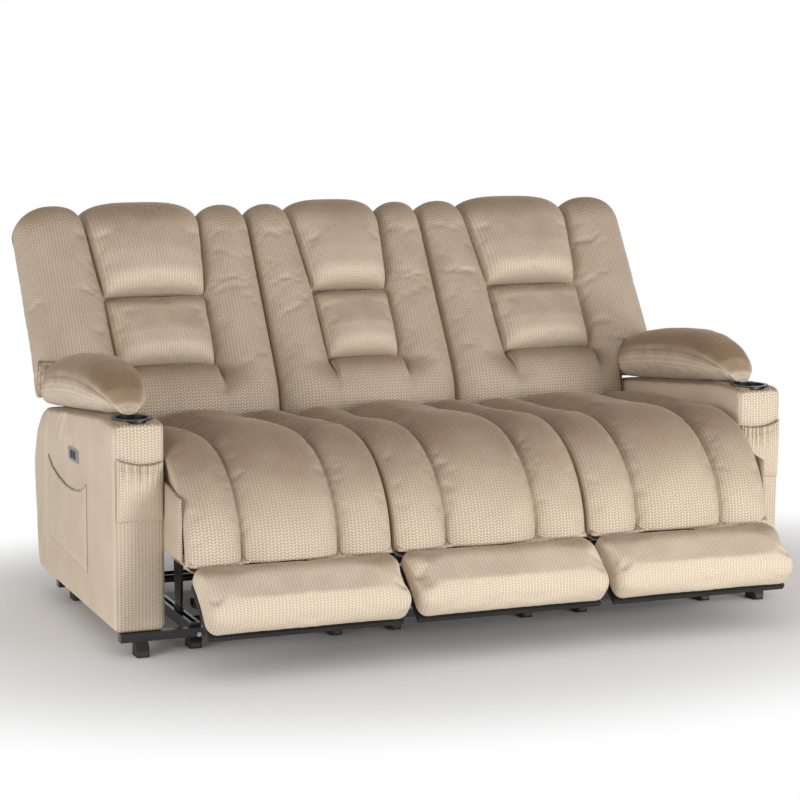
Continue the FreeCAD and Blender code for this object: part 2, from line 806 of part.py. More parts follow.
def make_arm_cover(side):
    outer, inner = side * overall_width / 2.0, side * arm_inner
    shell = prism(arm_outline(0.0, floor_clearance), inner, outer)
    hollow = prism(arm_outline(arm_padding, floor_clearance - 1.0), inner + side * arm_padding,
                   outer - side * arm_padding)
    shell = shell.cut(hollow)
    shell = shell.cut(cup_hole(side, cup_radius + cup_wall + soft_gap))
    return shell.cut(plate_hole(side, soft_gap))


def make_arm_frame(side):
    outer = side * (overall_width / 2.0 - arm_padding - soft_gap)
    inner = side * (arm_inner + arm_padding + soft_gap)
    skin = arm_padding + soft_gap
    ring = prism(arm_outline(skin, floor_clearance), inner, outer)
    window = prism(arm_outline(skin + arm_board, floor_clearance + arm_board), inner - side, outer + side)
    ring = ring.cut(window)
    ring = ring.cut(cup_hole(side, cup_radius + cup_wall + soft_gap))
    front = skin + arm_board
    rear = arm_length - arm_rear_lean - front
    bands = [(-arm_board, front), (front, rear), (rear, 2.0 * arm_length)]
    return compound(solid for y0, y1 in bands
                    for solid in ring.common(box(inner, outer, y0, y1, 0.0, arm_height)).Solids)


def make_arm_pad(side):
    inner = side * (arm_inner + soft_gap)
    outer = side * (overall_width / 2.0 + pad_overhang)
    lift = soft_gap
    start, stop = pad_front + 26.0, pad_rear - 14.0
    crown = arm_height + pad_rise
    corners = [(start, arm_top(start) + lift, 10.0), (pad_front, arm_height + 68.0, 42.0),
               (pad_front + 190.0, crown, 190.0), (pad_rear - 250.0, crown - 22.0, 200.0),
               (pad_rear, arm_top(pad_rear) + 62.0, 34.0), (stop, arm_top(stop) + lift, 16.0)]
    pad = prism(corners, inner, outer)
    return pad.common(pad_section(inner, outer, crown))


def pad_section(inner, outer, crown):
    """End view of the arm pad: a crowned top with round shoulders, carried from front to rear."""
    low = arm_rear_height - 30.0
    middle = (inner + outer) / 2.0
    corners = [(inner, low), (inner, crown - 26.0, 60.0), (middle, crown + 12.0, 90.0),
               (outer, crown - 26.0, 60.0), (outer, low)]
    edges = rounded_edges(corners, lambda x, z: vec(x, pad_front - 10.0, z))
    return Part.Face(Part.Wire(edges)).extrude(vec(0, pad_rear - pad_front + 20.0, 0))


def make_cup_holder(side):
    x = side * arm_middle
    bottom = arm_height - cup_depth
    outside = cup_radius + cup_wall
    cup = rod_along_z(x, cup_centre_y, outside, bottom, arm_height)
    rim = rod_along_z(x, cup_centre_y, outside + cup_rim_width, arm_height, arm_height + cup_rim_height)
    bore = rod_along_z(x, cup_centre_y, cup_radius, bottom + cup_wall, arm_height + cup_rim_height + 1.0)
    return cup.fuse(rim).cut(bore)


def plate_outline_solid(side):
    outer = side * overall_width / 2.0
    half, tall = plate_length / 2.0, plate_height / 2.0
    corners = [(plate_centre_y - half, plate_centre_z - tall, 7.0),
               (plate_centre_y + half, plate_centre_z - tall, 7.0),
               (plate_centre_y + half, plate_centre_z + tall, 7.0),
               (plate_centre_y - half, plate_centre_z + tall, 7.0)]
    return prism(corners, outer, outer + side * plate_thick)


def button_centres():
    return [plate_centre_y - button_spacing / 2.0, plate_centre_y + button_spacing / 2.0]


def make_control_plate(side):
    outer = side * overall_width / 2.0
    box_solid = plate_hole(side, 0.0).common(box(outer, outer - side * plate_box_depth, 0.0, arm_length,
                                                 0.0, arm_height))
    plate = plate_outline_solid(side).fuse(box_solid)
    half = plate_length / 2.0 - 6.0 - plate_box_wall
    tall = plate_height / 2.0 - 5.0 - plate_box_wall
    hollow = box(outer, outer - side * (plate_box_depth - plate_box_wall), plate_centre_y - half,
                 plate_centre_y + half, plate_centre_z - tall, plate_centre_z + tall)
    plate = plate.cut(hollow)
    for y in button_centres():
        plate = plate.cut(button_block(side, y, running_gap * 2.0, plate_thick + 1.0, 0.0))
    for y in button_centres():
        guide_x = outer - side * (plate_box_depth - plate_box_wall)
        guide = rod_along_x((y, plate_centre_z), button_stem + 2.0, guide_x, guide_x + side * 5.0)
        bore = rod_along_x((y, plate_centre_z), button_stem + running_gap, guide_x, guide_x + side * 6.0)
        plate = plate.fuse(guide).cut(bore)
    return plate


def button_block(side, y, margin, out, back):
    outer = side * overall_width / 2.0
    half, tall = button_length / 2.0 + margin, button_height / 2.0 + margin
    corners = [(y - half, plate_centre_z - tall, 4.0), (y + half, plate_centre_z - tall, 4.0),
               (y + half, plate_centre_z + tall, 4.0), (y - half, plate_centre_z + tall, 4.0)]
    return prism(corners, outer - side * back, outer + side * out)


def make_button(side, y):
    outer = side * overall_width / 2.0
    cap = button_block(side, y, 0.0, plate_thick + button_proud, 3.0)
    stem_end = outer - side * (plate_box_depth - plate_box_wall - button_travel - 0.5)
    return cap.fuse(rod_along_x((y, plate_centre_z), button_stem, outer - side * 3.0, stem_end))


def make_front_pocket(side):
    """Gathered cloth pocket, open at the top, sewn to the front of the arm at its sides and bottom."""
    inner, outer = side * (arm_inner + 1.0), side * (overall_width / 2.0 - 1.0)
    front = -front_pocket_depth
    body = prism([(-soft_gap, front_pocket_bottom), (-soft_gap, front_pocket_top),
                  (front + 3.0, front_pocket_top, 2.0), (front, front_pocket_bottom + 40.0, 60.0),
                  (-4.0, front_pocket_bottom, 2.0)], inner, outer)
    cloth = pocket_cloth
    hollow = prism([(-soft_gap - cloth, front_pocket_bottom + 16.0), (-soft_gap - cloth, front_pocket_top + 5.0),
                    (front + 3.0 + cloth, front_pocket_top + 5.0), (front + cloth, front_pocket_bottom + 46.0),
                    (-soft_gap - cloth - 2.0, front_pocket_bottom + 16.0)],
                   inner + side * 5.0, outer - side * 5.0)
    return body.cut(hollow)


def make_side_pocket(side):
    """Flat patch pocket with a curved mouth, on the outer side of the arm."""
    inner = side * (overall_width / 2.0 + soft_gap)
    outer = side * (overall_width / 2.0 + side_pocket_depth)
    front, rear = side_pocket_front, side_pocket_rear
    mouth = side_pocket_mouth
    shape = [(front, side_pocket_bottom, 14.0), (rear - 30.0, side_pocket_bottom + 20.0, 14.0),
             (rear, mouth + 12.0, 3.0), (rear - 90.0, mouth - 14.0, 120.0),
             (front + 40.0, mouth + 2.0, 160.0), (front, mouth + 30.0, 3.0)]
    body = prism(shape, inner, outer)
    hollow = [(front + 12.0, side_pocket_bottom + 14.0), (rear - 42.0, side_pocket_bottom + 32.0),
              (rear - 16.0, mouth + 50.0), (front + 12.0, mouth + 50.0)]
    return body.cut(prism(hollow, inner + side * pocket_cloth / 2.0, outer - side * pocket_cloth))


# All sub-parts, by name

def sub_parts():
    parts = {"base_stretchers": make_stretchers(), "floor_feet": make_feet(), "frame_bolts": make_bolts()}
    for name, centre in SEATS.items():
        parts[name + "_mechanism_base"] = make_base(centre)
        parts[name + "_seat_frame"] = make_seat_frame(centre)
        parts[name + "_seat_springs"] = make_springs(centre)
        parts[name + "_seat_cushion"] = make_seat_cushion(centre)
        parts[name + "_lift_links"] = make_lift_links(centre)
        parts[name + "_reach_links"] = make_reach_links(centre)
        parts[name + "_footrest_frame"] = make_footrest_frame(centre)
        parts[name + "_footrest_pad"] = make_footrest_pad(centre)
        parts[name + "_motor"] = make_motor(centre)
        parts[name + "_motor_rod"] = make_rod(centre)
        parts[name + "_back_frame"] = make_back_frame(centre)
        parts[name + "_back_cushion"] = make_back_cushion(name)
        parts[name + "_back_pads"] = make_back_pads(name)
    for name, side in SIDES.items():
        parts[name + "_arm_frame"] = make_arm_frame(side)
        parts[name + "_arm_cover"] = make_arm_cover(side)
        parts[name + "_arm_pad"] = make_arm_pad(side)
        parts[name + "_cup_holder"] = make_cup_holder(side)
        parts[name + "_control_plate"] = make_control_plate(side)
        parts[name + "_front_pocket"] = make_front_pocket(side)
        parts[name + "_side_pocket"] = make_side_pocket(side)
        for use, y in zip(("open", "close"), button_centres()):
            parts[name + "_" + use + "_button"] = make_button(side, y)
    return parts


def centre_shift(parts):
    """How far the sofa moves along Y so that its box is centred on the origin."""
    ends = [parts[name].optimalBoundingBox(False) for name in parts
            if name.endswith(("footrest_pad", "back_cushion", "seat_cushion"))]
    return -(min(end.YMin for end in ends) + max(end.YMax for end in ends)) / 2.0


def main():
    os.makedirs("parts", exist_ok=True)
    parts = sub_parts()
    shift = centre_shift(parts)
    for name, shape in parts.items():
        moved = shape.copy()
        moved.translate(vec(0.0, shift, 0.0))
        moved.exportStep("parts/" + name + ".step")
    print("nodes", len(parts), "shift along Y", round(shift, 3))
    return parts, shift


if __name__ == "__main__":
    main()
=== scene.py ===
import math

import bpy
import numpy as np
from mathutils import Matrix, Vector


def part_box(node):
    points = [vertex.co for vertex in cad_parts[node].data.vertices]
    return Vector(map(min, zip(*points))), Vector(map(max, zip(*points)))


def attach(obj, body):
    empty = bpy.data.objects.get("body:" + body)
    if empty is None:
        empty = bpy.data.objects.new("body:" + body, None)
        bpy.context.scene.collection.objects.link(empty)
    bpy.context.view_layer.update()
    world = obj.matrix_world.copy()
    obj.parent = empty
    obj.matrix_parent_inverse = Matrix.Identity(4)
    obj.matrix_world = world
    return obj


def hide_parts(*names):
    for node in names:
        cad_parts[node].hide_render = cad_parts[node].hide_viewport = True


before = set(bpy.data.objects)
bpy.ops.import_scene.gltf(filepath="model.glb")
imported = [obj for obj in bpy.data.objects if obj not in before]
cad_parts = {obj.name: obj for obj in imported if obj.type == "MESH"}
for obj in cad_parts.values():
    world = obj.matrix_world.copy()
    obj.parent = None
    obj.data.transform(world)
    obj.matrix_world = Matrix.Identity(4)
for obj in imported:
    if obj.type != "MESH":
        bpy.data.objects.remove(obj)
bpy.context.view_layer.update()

# %% [markdown]
# # A reclining sofa in textured velvet
# The sofa's pieces come from its solid model, each at its real size. This lesson dresses them: every
# cushion, pad and cover is made again as sewn and stuffed cloth, and every other piece gets a finish.
# All lengths are in metres. X runs across the sofa, Y from front to back and Z up.

# %% [markdown]
# Most places in the model are known from the front face of the arms, so that face is the start for Y.
# The three seats share the width between the arms, and each has its own centre line.

# %% Places that the model gives
arm_low, arm_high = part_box("left_arm_cover")
arm_front = arm_low.y
arm_inner = -arm_high.x
half_width = -arm_low.x
arm_top = arm_high.z
SIDES = {"left": -1.0, "right": 1.0}
SEATS = {}
for seat in ("left", "middle", "right"):
    low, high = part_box(seat + "_seat_cushion")
    SEATS[seat] = (low.x + high.x) / 2.0
seat_half = (high.x - low.x) / 2.0
print("seats at", {name: round(x, 3) for name, x in SEATS.items()}, "half a seat", round(seat_half, 3))

# %% [markdown]
# ## Curves in side view
# A cushion is drawn first as a line in side view, with rounded corners. Walking along it gives, for every
# point, its place, the direction that faces out and the length so far. The length lays out the weave later,
# so that it never stretches.

# %% Walk along a rounded line
def walk(corners, step=0.008):
    """Points, left-hand normals and lengths along a line of (y, z, radius) corners."""
    points = [np.array(corners[0][:2], float)]
    for i in range(1, len(corners) - 1):
        corner, radius = np.array(corners[i][:2], float), corners[i][2]
        back = np.array(corners[i - 1][:2], float) - corner
        ahead = np.array(corners[i + 1][:2], float) - corner
        back, ahead = back / np.linalg.norm(back), ahead / np.linalg.norm(ahead)
        half = math.acos(max(-1.0, min(1.0, float(back @ ahead)))) / 2.0
        reach = radius / math.tan(half)
        middle = (back + ahead) / np.linalg.norm(back + ahead)
        centre = corner + middle * radius / math.sin(half)
        first, last = corner + back * reach - centre, corner + ahead * reach - centre
        turn = math.pi - 2.0 * half
        count = max(2, int(turn * radius / step))
        way = math.copysign(1.0, first[0] * last[1] - first[1] * last[0])
        for k in range(count + 1):
            angle = way * turn * k / count
            cosine, sine = math.cos(angle), math.sin(angle)
            points.append(centre + np.array([first[0] * cosine - first[1] * sine,
                                             first[0] * sine + first[1] * cosine]))
    points.append(np.array(corners[-1][:2], float))
    points = np.array(points)
    lengths = np.concatenate([[0.0], np.cumsum(np.linalg.norm(np.diff(points, axis=0), axis=1))])
    total = lengths[-1]
    even = np.linspace(0.0, total, max(4, int(total / step)) + 1)
    line = np.stack([np.interp(even, lengths, points[:, k]) for k in (0, 1)], axis=1)
    along = np.gradient(line, axis=0)
    along /= np.linalg.norm(along, axis=1)[:, None]
    return line, np.stack([-along[:, 1], along[:, 0]], axis=1), even

# %% [markdown]
# Stuffed cloth rises like a pillow between two seams: steep beside them and nearly flat in the middle. A
# power curve gives that rise. The columns of a cushion lie closer together beside the seams, where the cloth
# turns fastest.

# %% The rise of a stuffed roll, and columns that crowd towards its seams
def rise(t, power=2.3):
    """1 in the middle of a roll and 0 at its seams, for t from -1 to 1."""
    return np.sqrt(np.clip(1.0 - np.abs(t) ** power, 0.0, 1.0))


def crowd(low, high, count):
    """Numbers from low to high, closer together towards both ends."""
    t = np.cos(np.linspace(math.pi, 0.0, count + 1))
    t = 0.72 * t + 0.28 * np.linspace(-1.0, 1.0, count + 1)
    return (low + high) / 2.0 + (high - low) / 2.0 * t


def smooth(value, low, high):
    """0 below low, 1 above high, and a smooth step between them."""
    t = np.clip((value - low) / (high - low), 0.0, 1.0)
    return t * t * (3.0 - 2.0 * t)


# %% [markdown]
# ## From a flat grid to a cushion
# Every cushion starts as a grid, as if the cloth lay flat. Its points are then moved to where the sewn cloth
# lies, and the flat lengths stay in the UV map, so the weave has one size everywhere. Where the grid closes
# on itself its doubles are merged, and its open ends are filled.

# %% Shape a grid into a closed cushion
def only(obj):
    """Make obj the one selected, active object."""
    bpy.ops.object.select_all(action="DESELECT")
    obj.select_set(True)
    bpy.context.view_layer.objects.active = obj


def mesh_edit(obj, *steps):
    """Run edit-mode steps on the whole mesh of obj."""
    only(obj)
    bpy.ops.object.mode_set(mode="EDIT")
    bpy.ops.mesh.select_all(action="SELECT")
    for step in steps:
        step()
    bpy.ops.object.mode_set(mode="OBJECT")


def read_points(obj):
    values = np.empty(len(obj.data.vertices) * 3)
    obj.data.vertices.foreach_get("co", values)
    return values.reshape(-1, 3)


def write_points(obj, points):
    obj.data.vertices.foreach_set("co", np.ascontiguousarray(points, dtype=np.float32).ravel())
    obj.data.update()


def close_mesh():
    bpy.ops.mesh.remove_doubles(threshold=0.00008)
    bpy.ops.mesh.select_all(action="SELECT")
    bpy.ops.mesh.fill_holes(sides=0)
    bpy.ops.mesh.select_all(action="SELECT")
    bpy.ops.mesh.normals_make_consistent(inside=False)


def cloth_grid(name, points, lengths):
    """Mesh from an array of rows of points, with its UV map from an array of rows of lengths in metres."""
    rows, columns = points.shape[:2]
    bpy.ops.mesh.primitive_grid_add(x_subdivisions=columns - 1, y_subdivisions=rows - 1, size=1.0,
                                    calc_uvs=True)
    obj = bpy.context.object
    obj.name = name
    obj.data.name = name
    flat = read_points(obj)
    column = np.rint((flat[:, 0] + 0.5) * (columns - 1)).astype(int)
    row = np.rint((flat[:, 1] + 0.5) * (rows - 1)).astype(int)
    obj.matrix_world = Matrix.Identity(4)
    write_points(obj, points[row, column])
    corner = np.empty(len(obj.data.loops), dtype=np.int32)
    obj.data.loops.foreach_get("vertex_index", corner)
    uv = lengths[row[corner], column[corner]]
    obj.data.uv_layers.active.data.foreach_set("uv", uv.astype(np.float32).ravel())
    mesh_edit(obj, close_mesh)
    return obj


# %% [markdown]
# ## Cloth simulation
# A real cover is cut a little too large, and the filling presses it outwards between the seams, which makes
# soft puckers. The cloth modifier does the same with a pressure inside the closed mesh. The seams are
# pinned, and no point may move further than a cap.

# %% Stuff a cushion
def stuff(obj, pinned, pressure=3.0, spare=0.03, cap=0.024, frames=16, refine=True):
    """Press the cloth of obj outwards, holding the points that pinned names, then subdivide it once."""
    start = read_points(obj)
    group = obj.vertex_groups.new(name="sewn")
    held = np.nonzero(pinned(start))[0]
    group.add([int(i) for i in held], 1.0, "REPLACE")
    only(obj)
    modifier = obj.modifiers.new("Cloth", "CLOTH")
    cloth = modifier.settings
    cloth.quality = 4
    cloth.mass = 0.25
    cloth.air_damping = 2.0
    cloth.tension_stiffness = cloth.compression_stiffness = 12.0
    cloth.shear_stiffness = 4.0
    cloth.bending_stiffness = 0.4
    cloth.use_pressure = True
    cloth.uniform_pressure_force = pressure
    cloth.shrink_min = -spare
    cloth.vertex_group_mass = "sewn"
    cloth.effector_weights.gravity = 0.0
    modifier.point_cache.frame_start, modifier.point_cache.frame_end = 1, frames
    for number in range(1, frames + 1):
        bpy.context.scene.frame_set(number)
    bpy.ops.object.modifier_apply(modifier="Cloth")
    moved = read_points(obj) - start
    far = np.linalg.norm(moved, axis=1)
    share = np.minimum(1.0, cap / np.maximum(far, 1e-9))
    write_points(obj, start + moved * share[:, None])
    obj.vertex_groups.clear()
    print(obj.name, "swelled by up to", round(float(far.max()), 4))
    bpy.context.scene.frame_set(1)
    if refine:
        modifier = obj.modifiers.new("Finer", "SUBSURF")
        modifier.levels = modifier.render_levels = 1
        modifier.use_limit_surface = False
        only(obj)
        bpy.ops.object.modifier_apply(modifier="Finer")
    only(obj)
    bpy.ops.object.shade_smooth()
    return obj


def finish_piece(obj, body, slot, material, *nodes, fill=None):
    """Give a piece its finish, the body that it moves with and the model's nodes that it stands for."""
    obj.data.materials.clear()
    obj.data.materials.append(material)
    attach(obj, body)
    if nodes:
        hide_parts(*nodes)
    return obj


# %% [markdown]
# ## Shader maths as Python
# A finish is arithmetic on places: stripes, dashes and noise are added and multiplied. A small class wraps
# a socket and overloads the operators, so that a formula in Python builds its Math nodes.

# %% Sockets that can be added and multiplied
class Value:
    """One output socket of a shader node, usable in formulas."""

    def __init__(self, tree, socket):
        self.tree = tree
        self.socket = socket

    def node(self, kind, inputs, output=0, **settings):
        made = self.tree.nodes.new(kind)
        for key, setting in settings.items():
            setattr(made, key, setting)
        for key, given in inputs.items():
            if isinstance(given, Value):
                self.tree.links.new(given.socket, made.inputs[key])
            else:
                made.inputs[key].default_value = given
        return Value(self.tree, made.outputs[output])

    def maths(self, operation, *others):
        return self.node("ShaderNodeMath", dict(enumerate((self, *others))), operation=operation)

    def __add__(self, other):
        return self.maths("ADD", other)

    def __sub__(self, other):
        return self.maths("SUBTRACT", other)

    def __rsub__(self, other):
        return (self * -1.0) + other

    def __mul__(self, other):
        return self.maths("MULTIPLY", other)

    __radd__, __rmul__ = __add__, __mul__

    def __truediv__(self, other):
        return self.maths("DIVIDE", other)

    def part(self):
        return self.maths("FRACT")

    def floor(self):
        return self.maths("FLOOR")

    def size(self):
        return self.maths("ABSOLUTE")

    def step(self, low, high):
        """0 where this value is under low, 1 where it is over high, smooth between."""
        return self.node("ShaderNodeMapRange", {"Value": self, "From Min": low, "From Max": high},
                         interpolation_type="SMOOTHSTEP")

    def mix(self, first, second):
        """first where this value is 0 and second where it is 1; both are colours."""
        keys = {"Factor": self, 6: first, 7: second}
        return self.node("ShaderNodeMix", keys, output=2, data_type="RGBA", blend_type="MIX")

    def axes(self):
        split = self.tree.nodes.new("ShaderNodeSeparateXYZ")
        self.tree.links.new(self.socket, split.inputs[0])
        return [Value(self.tree, out) for out in split.outputs]


def new_material(name, **constants):
    """Material with its Principled shader, whose constant inputs are set by name."""
    material = bpy.data.materials.new(name)
    material.use_nodes = True
    shader = material.node_tree.nodes["Principled BSDF"]
    for key, value in constants.items():
        shader.inputs[key.replace("_", " ")].default_value = value
    return material, material.node_tree, shader


def coordinate(tree, output):
    node = tree.nodes.new("ShaderNodeTexCoord")
    return Value(tree, node.outputs[output])


def noise(place, scale, detail=2.0, roughness=0.5):
    return place.node("ShaderNodeTexNoise", {"Vector": place, "Scale": scale, "Detail": detail,
                                             "Roughness": roughness})


def connect(value, shader, key):
    value.tree.links.new(value.socket, shader.inputs[key])


def bump(height, strength, distance):
    return height.node("ShaderNodeBump", {"Height": height, "Strength": strength, "Distance": distance})


def rgb(red, green, blue):
    """Colour as it reads on a screen, from 0 to 255, turned into linear light."""
    return tuple((((v / 255.0) + 0.055) / 1.055) ** 2.4 for v in (red, green, blue)) + (1.0,)


# %% [markdown]
# ## The velvet
# The velvet has a knitted look: columns nine millimetres apart, each a row of small dashes that lie lower
# than the pile and slant to the other side in the next column. The formula finds both from the UV map,
# which is in metres. Painted shade makes cloth that faces up darker, and painted light makes cloth that
# faces forward paler.

# %% Velvet with slanting dashes
column_pitch, dash_pitch, dash_slant = 0.0092, 0.0068, 0.95
rib_pitch = 0.0062
weave_shade = rgb(100, 76, 52)
# Lit and shaded copies of the velvet's colour: the pale cream is painted light, and the brown is painted
# shade.
painted_lit_cream, tan, painted_shade_brown = rgb(230, 214, 192), rgb(200, 176, 146), rgb(124, 97, 70)


def dashes(u, v):
    """1 on the small slanting dashes of the weave and 0 between them."""
    column = u / column_pitch
    across = column.part() - 0.5
    lean = (column.floor() * 0.5).part() * 4.0 - 1.0
    along = (v / dash_pitch + across * lean * dash_slant).part() - 0.5
    inside = 1.0 - across.size().step(0.26, 0.46)
    return inside * (1.0 - along.size().step(0.14, 0.34))


def velvet(name, depth=1.0, boxed=False, painted_shade_range=(-0.40, 0.98)):
    """Velvet laid out by the UV map or, where boxed is true, by the place on the arm's flat faces.

    The last argument gives how far a face turns up before painted shade darkens it, and where it is darkest.
    """
    material, tree, shader = new_material(name, Roughness=0.62, Sheen_Weight=0.35, Sheen_Roughness=0.35,
                                          Specular_IOR_Level=0.25)
    shader.inputs["Sheen Tint"].default_value = rgb(255, 240, 220)
    place = coordinate(tree, "Object")
    facing = coordinate(tree, "Normal").axes()
    if boxed:
        x, y, z = place.axes()
        sideways = facing[0].size().step(0.72, 0.94)
        ribs = (z / rib_pitch).part() - 0.5
        weave = dashes(x, y - z) * (1.0 - sideways)
        weave = weave + ribs.size().step(0.12, 0.42) * sideways * 0.18
    else:
        u, v, _ = coordinate(tree, "UV").axes()
        weave = dashes(u, v)
    cloud = noise(place, 9.0, 3.0)
    streak = noise(place, 60.0, 2.0)
    # Painted shade: the more a face turns up, the further its colour goes from the pale cream to the brown.
    up = (facing[2] * 0.85 + facing[1] * 0.30 + (cloud - 0.5) * 0.35).step(*painted_shade_range)
    pile = up.mix(painted_lit_cream, painted_shade_brown)
    pile = (streak * 0.16 + 0.02).mix(pile, tan)
    cloth = (weave * 0.54 * depth).mix(pile, weave_shade)
    connect(cloth, shader, "Base Color")
    height = (1.0 - weave) + streak * 0.25
    connect(bump(height, 0.60 * depth, 0.0016), shader, "Normal")
    return material


# The last argument of each velvet sets where its painted shade starts and where it is darkest.
seat_velvet = velvet("seat_velvet")
back_velvet = velvet("back_velvet")
pad_velvet = velvet("pad_velvet", depth=0.8, painted_shade_range=(-0.25, 0.90))
footrest_velvet = velvet("footrest_velvet", depth=0.8, painted_shade_range=(0.18, 1.02))
bun_velvet = velvet("bun_velvet", depth=0.7, painted_shade_range=(-0.25, 0.55))
pocket_velvet = velvet("pocket_velvet", depth=0.9)
arm_velvet = velvet("arm_velvet", boxed=True)

# %% [markdown]
# ## Seat cushions
# Each seat is one cushion that runs forward from the back and falls over the front of its frame. Two sewn
# channels divide it into three rolls. In side view the seams follow one line, and the rolls stand out from
# it. The grid's rows walk along that line, and its columns go over the rolls, down one side, back
# underneath and up the other side.

# %% One seat cushion
seam_front = -0.159
seam_rear = (0.645, 0.484)
seam_lip = 0.262
channel = 0.130
fall_inside = -0.0777
deck = 0.3752
foam_depth, lip_depth = 0.16, 0.03
outer_roll, middle_roll = 0.034, 0.040


def inner_depth(line, inward):
    """Depth of the closed cushion at each point of its line: thin in the lip and thick elsewhere."""
    back, up = inward[:, 0], inward[:, 1]
    to_board = np.where(back < -0.05, (line[:, 0] - fall_inside) / np.minimum(back, -0.05), -9.0)
    to_deck = np.where(up > 0.05, (deck - line[:, 1]) / np.maximum(up, 0.05), -9.0)
    return np.clip(-np.maximum(to_board, to_deck), lip_depth, foam_depth)


def seat_cushion(name, centre):
    corners = [(seam_rear[0], seam_rear[1] - 0.06), (seam_rear[0], seam_rear[1], 0.05),
               (seam_front, 0.534, 0.262), (seam_front, seam_lip, 0.012), (seam_front + 0.05, seam_lip)]
    line, inward, length = walk(corners, 0.009)
    normal = -inward
    total = length[-1]
    bounds = [-seat_half, -channel, channel, seat_half]
    counts = (14, 22, 14)
    across = [crowd(bounds[i], bounds[i + 1], counts[i])[int(i > 0):] for i in range(3)]
    x = np.concatenate(across)
    roll = np.searchsorted(bounds[1:-1], x, side="right")
    low, high = np.array(bounds)[roll], np.array(bounds)[roll + 1]
    t = (2.0 * x - low - high) / (high - low)
    full = np.where(roll == 1, middle_roll, outer_roll)
    height = full * rise(t)
    at_lip = smooth(length, total - 0.052, total - 0.012)
    at_rear = 1.0 - smooth(length, 0.0, 0.10)
    strength = (1.0 - 0.9 * at_lip) * (1.0 - 0.7 * at_rear)
    out = height[None, :] * strength[:, None]
    sag = 0.004 * np.sin(length * 13.0 + centre * 9.0)[:, None] * rise(t)[None, :]
    out = out + sag
    depth = inner_depth(line, inward)
    rows = []
    for i in range(len(line)):
        y, z = line[i]
        ny, nz = normal[i]
        deep = depth[i]
        top = [(centre + x[k], y + ny * out[i, k], z + nz * out[i, k]) for k in range(len(x))]
        pull = 0.010 * strength[i]
        side = [(seat_half - pull * rise(np.array(q * 2.0 - 1.0)), -deep * q) for q in (0.15, 0.4, 0.7, 1.0)]
        right = [(centre + sx, y + ny * d, z + nz * d) for sx, d in side]
        under = [(centre + sx, y - ny * deep, z - nz * deep) for sx in (0.18, 0.06, -0.06, -0.18)]
        left = [(centre - sx, y + ny * d, z + nz * d) for sx, d in reversed(side)]
        rows.append(top + right + under + left + top[:1])
    points = np.array(rows)
    points[:, :, 1] += arm_front
    steps = np.linalg.norm(np.diff(points, axis=1), axis=2)
    round_length = np.concatenate([np.zeros((len(line), 1)), np.cumsum(steps, axis=1)], axis=1)
    flat = np.zeros(points.shape[:2] + (2,))
    middle = round_length[len(line) // 2]
    flat[:, :, 0] = middle[None, :]
    flat[:, :, 1] = length[:, None]
    obj = cloth_grid(name + "_seat_velvet", points, flat)

    def sewn(start):
        offset = np.abs(start[:, 0] - centre)
        seam = np.minimum(np.abs(offset - channel), np.abs(offset - seat_half))
        hidden = (start[:, 1] - arm_front > fall_inside - 0.03) & (start[:, 2] < 0.42)
        return (seam < 0.004) | hidden | (offset > seat_half - 0.012)

    stuff(obj, sewn, pressure=2.2, spare=0.014, cap=0.012)
    return finish_piece(obj, name + "_seat", "seat_fabric", seat_velvet, name + "_seat_cushion", fill=0.8)


seat_pieces = [seat_cushion(name, centre) for name, centre in SEATS.items()]
print("seat cushions", [len(piece.data.polygons) for piece in seat_pieces])

# %% [markdown]
# Beside the fall of each outer seat a flat panel of the same cloth closes the side of the seat frame.

# %% Side panels of the outer seats
def side_panel(name, side):
    edge = SEATS[name] * side + seat_half
    share = np.linspace(0.0, 1.0, 9)
    top = np.stack([np.interp(share, [0.0, 0.6, 1.0], [-0.140, 0.03, 0.160]),
                    np.interp(share, [0.0, 0.6, 1.0], [0.430, 0.455, 0.440])], axis=1)
    low = np.stack([np.interp(share, [0.0, 1.0], [-0.146, 0.160]), np.full(9, 0.268)], axis=1)
    rows = [np.stack([np.full(9, side * (edge + out)), *(top + (low - top) * down).T], axis=1)
            for out, down in ((0.0018, 0.0), (0.0022, 0.0), (0.0062, 0.03), (0.0066, 0.35), (0.0066, 0.65),
                              (0.0062, 0.97), (0.0022, 1.0), (0.0018, 1.0))]
    points = np.array(rows + [rows[0]])
    points[:, :, 1] += arm_front
    flat = points[:, :, 1:].copy()
    obj = cloth_grid(name + "_side_panel", points, flat)
    only(obj)
    bpy.ops.object.shade_smooth()
    return finish_piece(obj, name + "_seat", "seat_fabric", seat_velvet, fill=0.2)


for name, side in SIDES.items():
    side_panel(name, side)

# %% [markdown]
# ## Backs
# A back leans at 33 degrees, so its places are given along the lean and out from it. Its loop goes up the
# front, over the top and down the rear. Two upright seams part the bolsters from the column of pads, and
# they drift outwards to the top. Below the pads the bolsters run together into one wide belly.

# %% Places on a leaning back
lean = math.radians(33.0)
back_start = (0.729, 0.661)
seam_depth = 0.055
head_low, lumbar_low = 0.238, 0.0
outer_shift = 0.048
middle_less = 0.033


def lean_place(along, out):
    """Side view place of a point, from its length along the lean and its distance out of the crown line."""
    return (back_start[0] + along * math.sin(lean) - out * math.cos(lean),
            back_start[1] + along * math.cos(lean) + out * math.sin(lean))


def lean_along(line):
    return (line[:, 0] - back_start[0]) * math.sin(lean) + (line[:, 1] - back_start[1]) * math.cos(lean)


def lean_out(line):
    return (line[:, 1] - back_start[1]) * math.sin(lean) - (line[:, 0] - back_start[0]) * math.cos(lean)


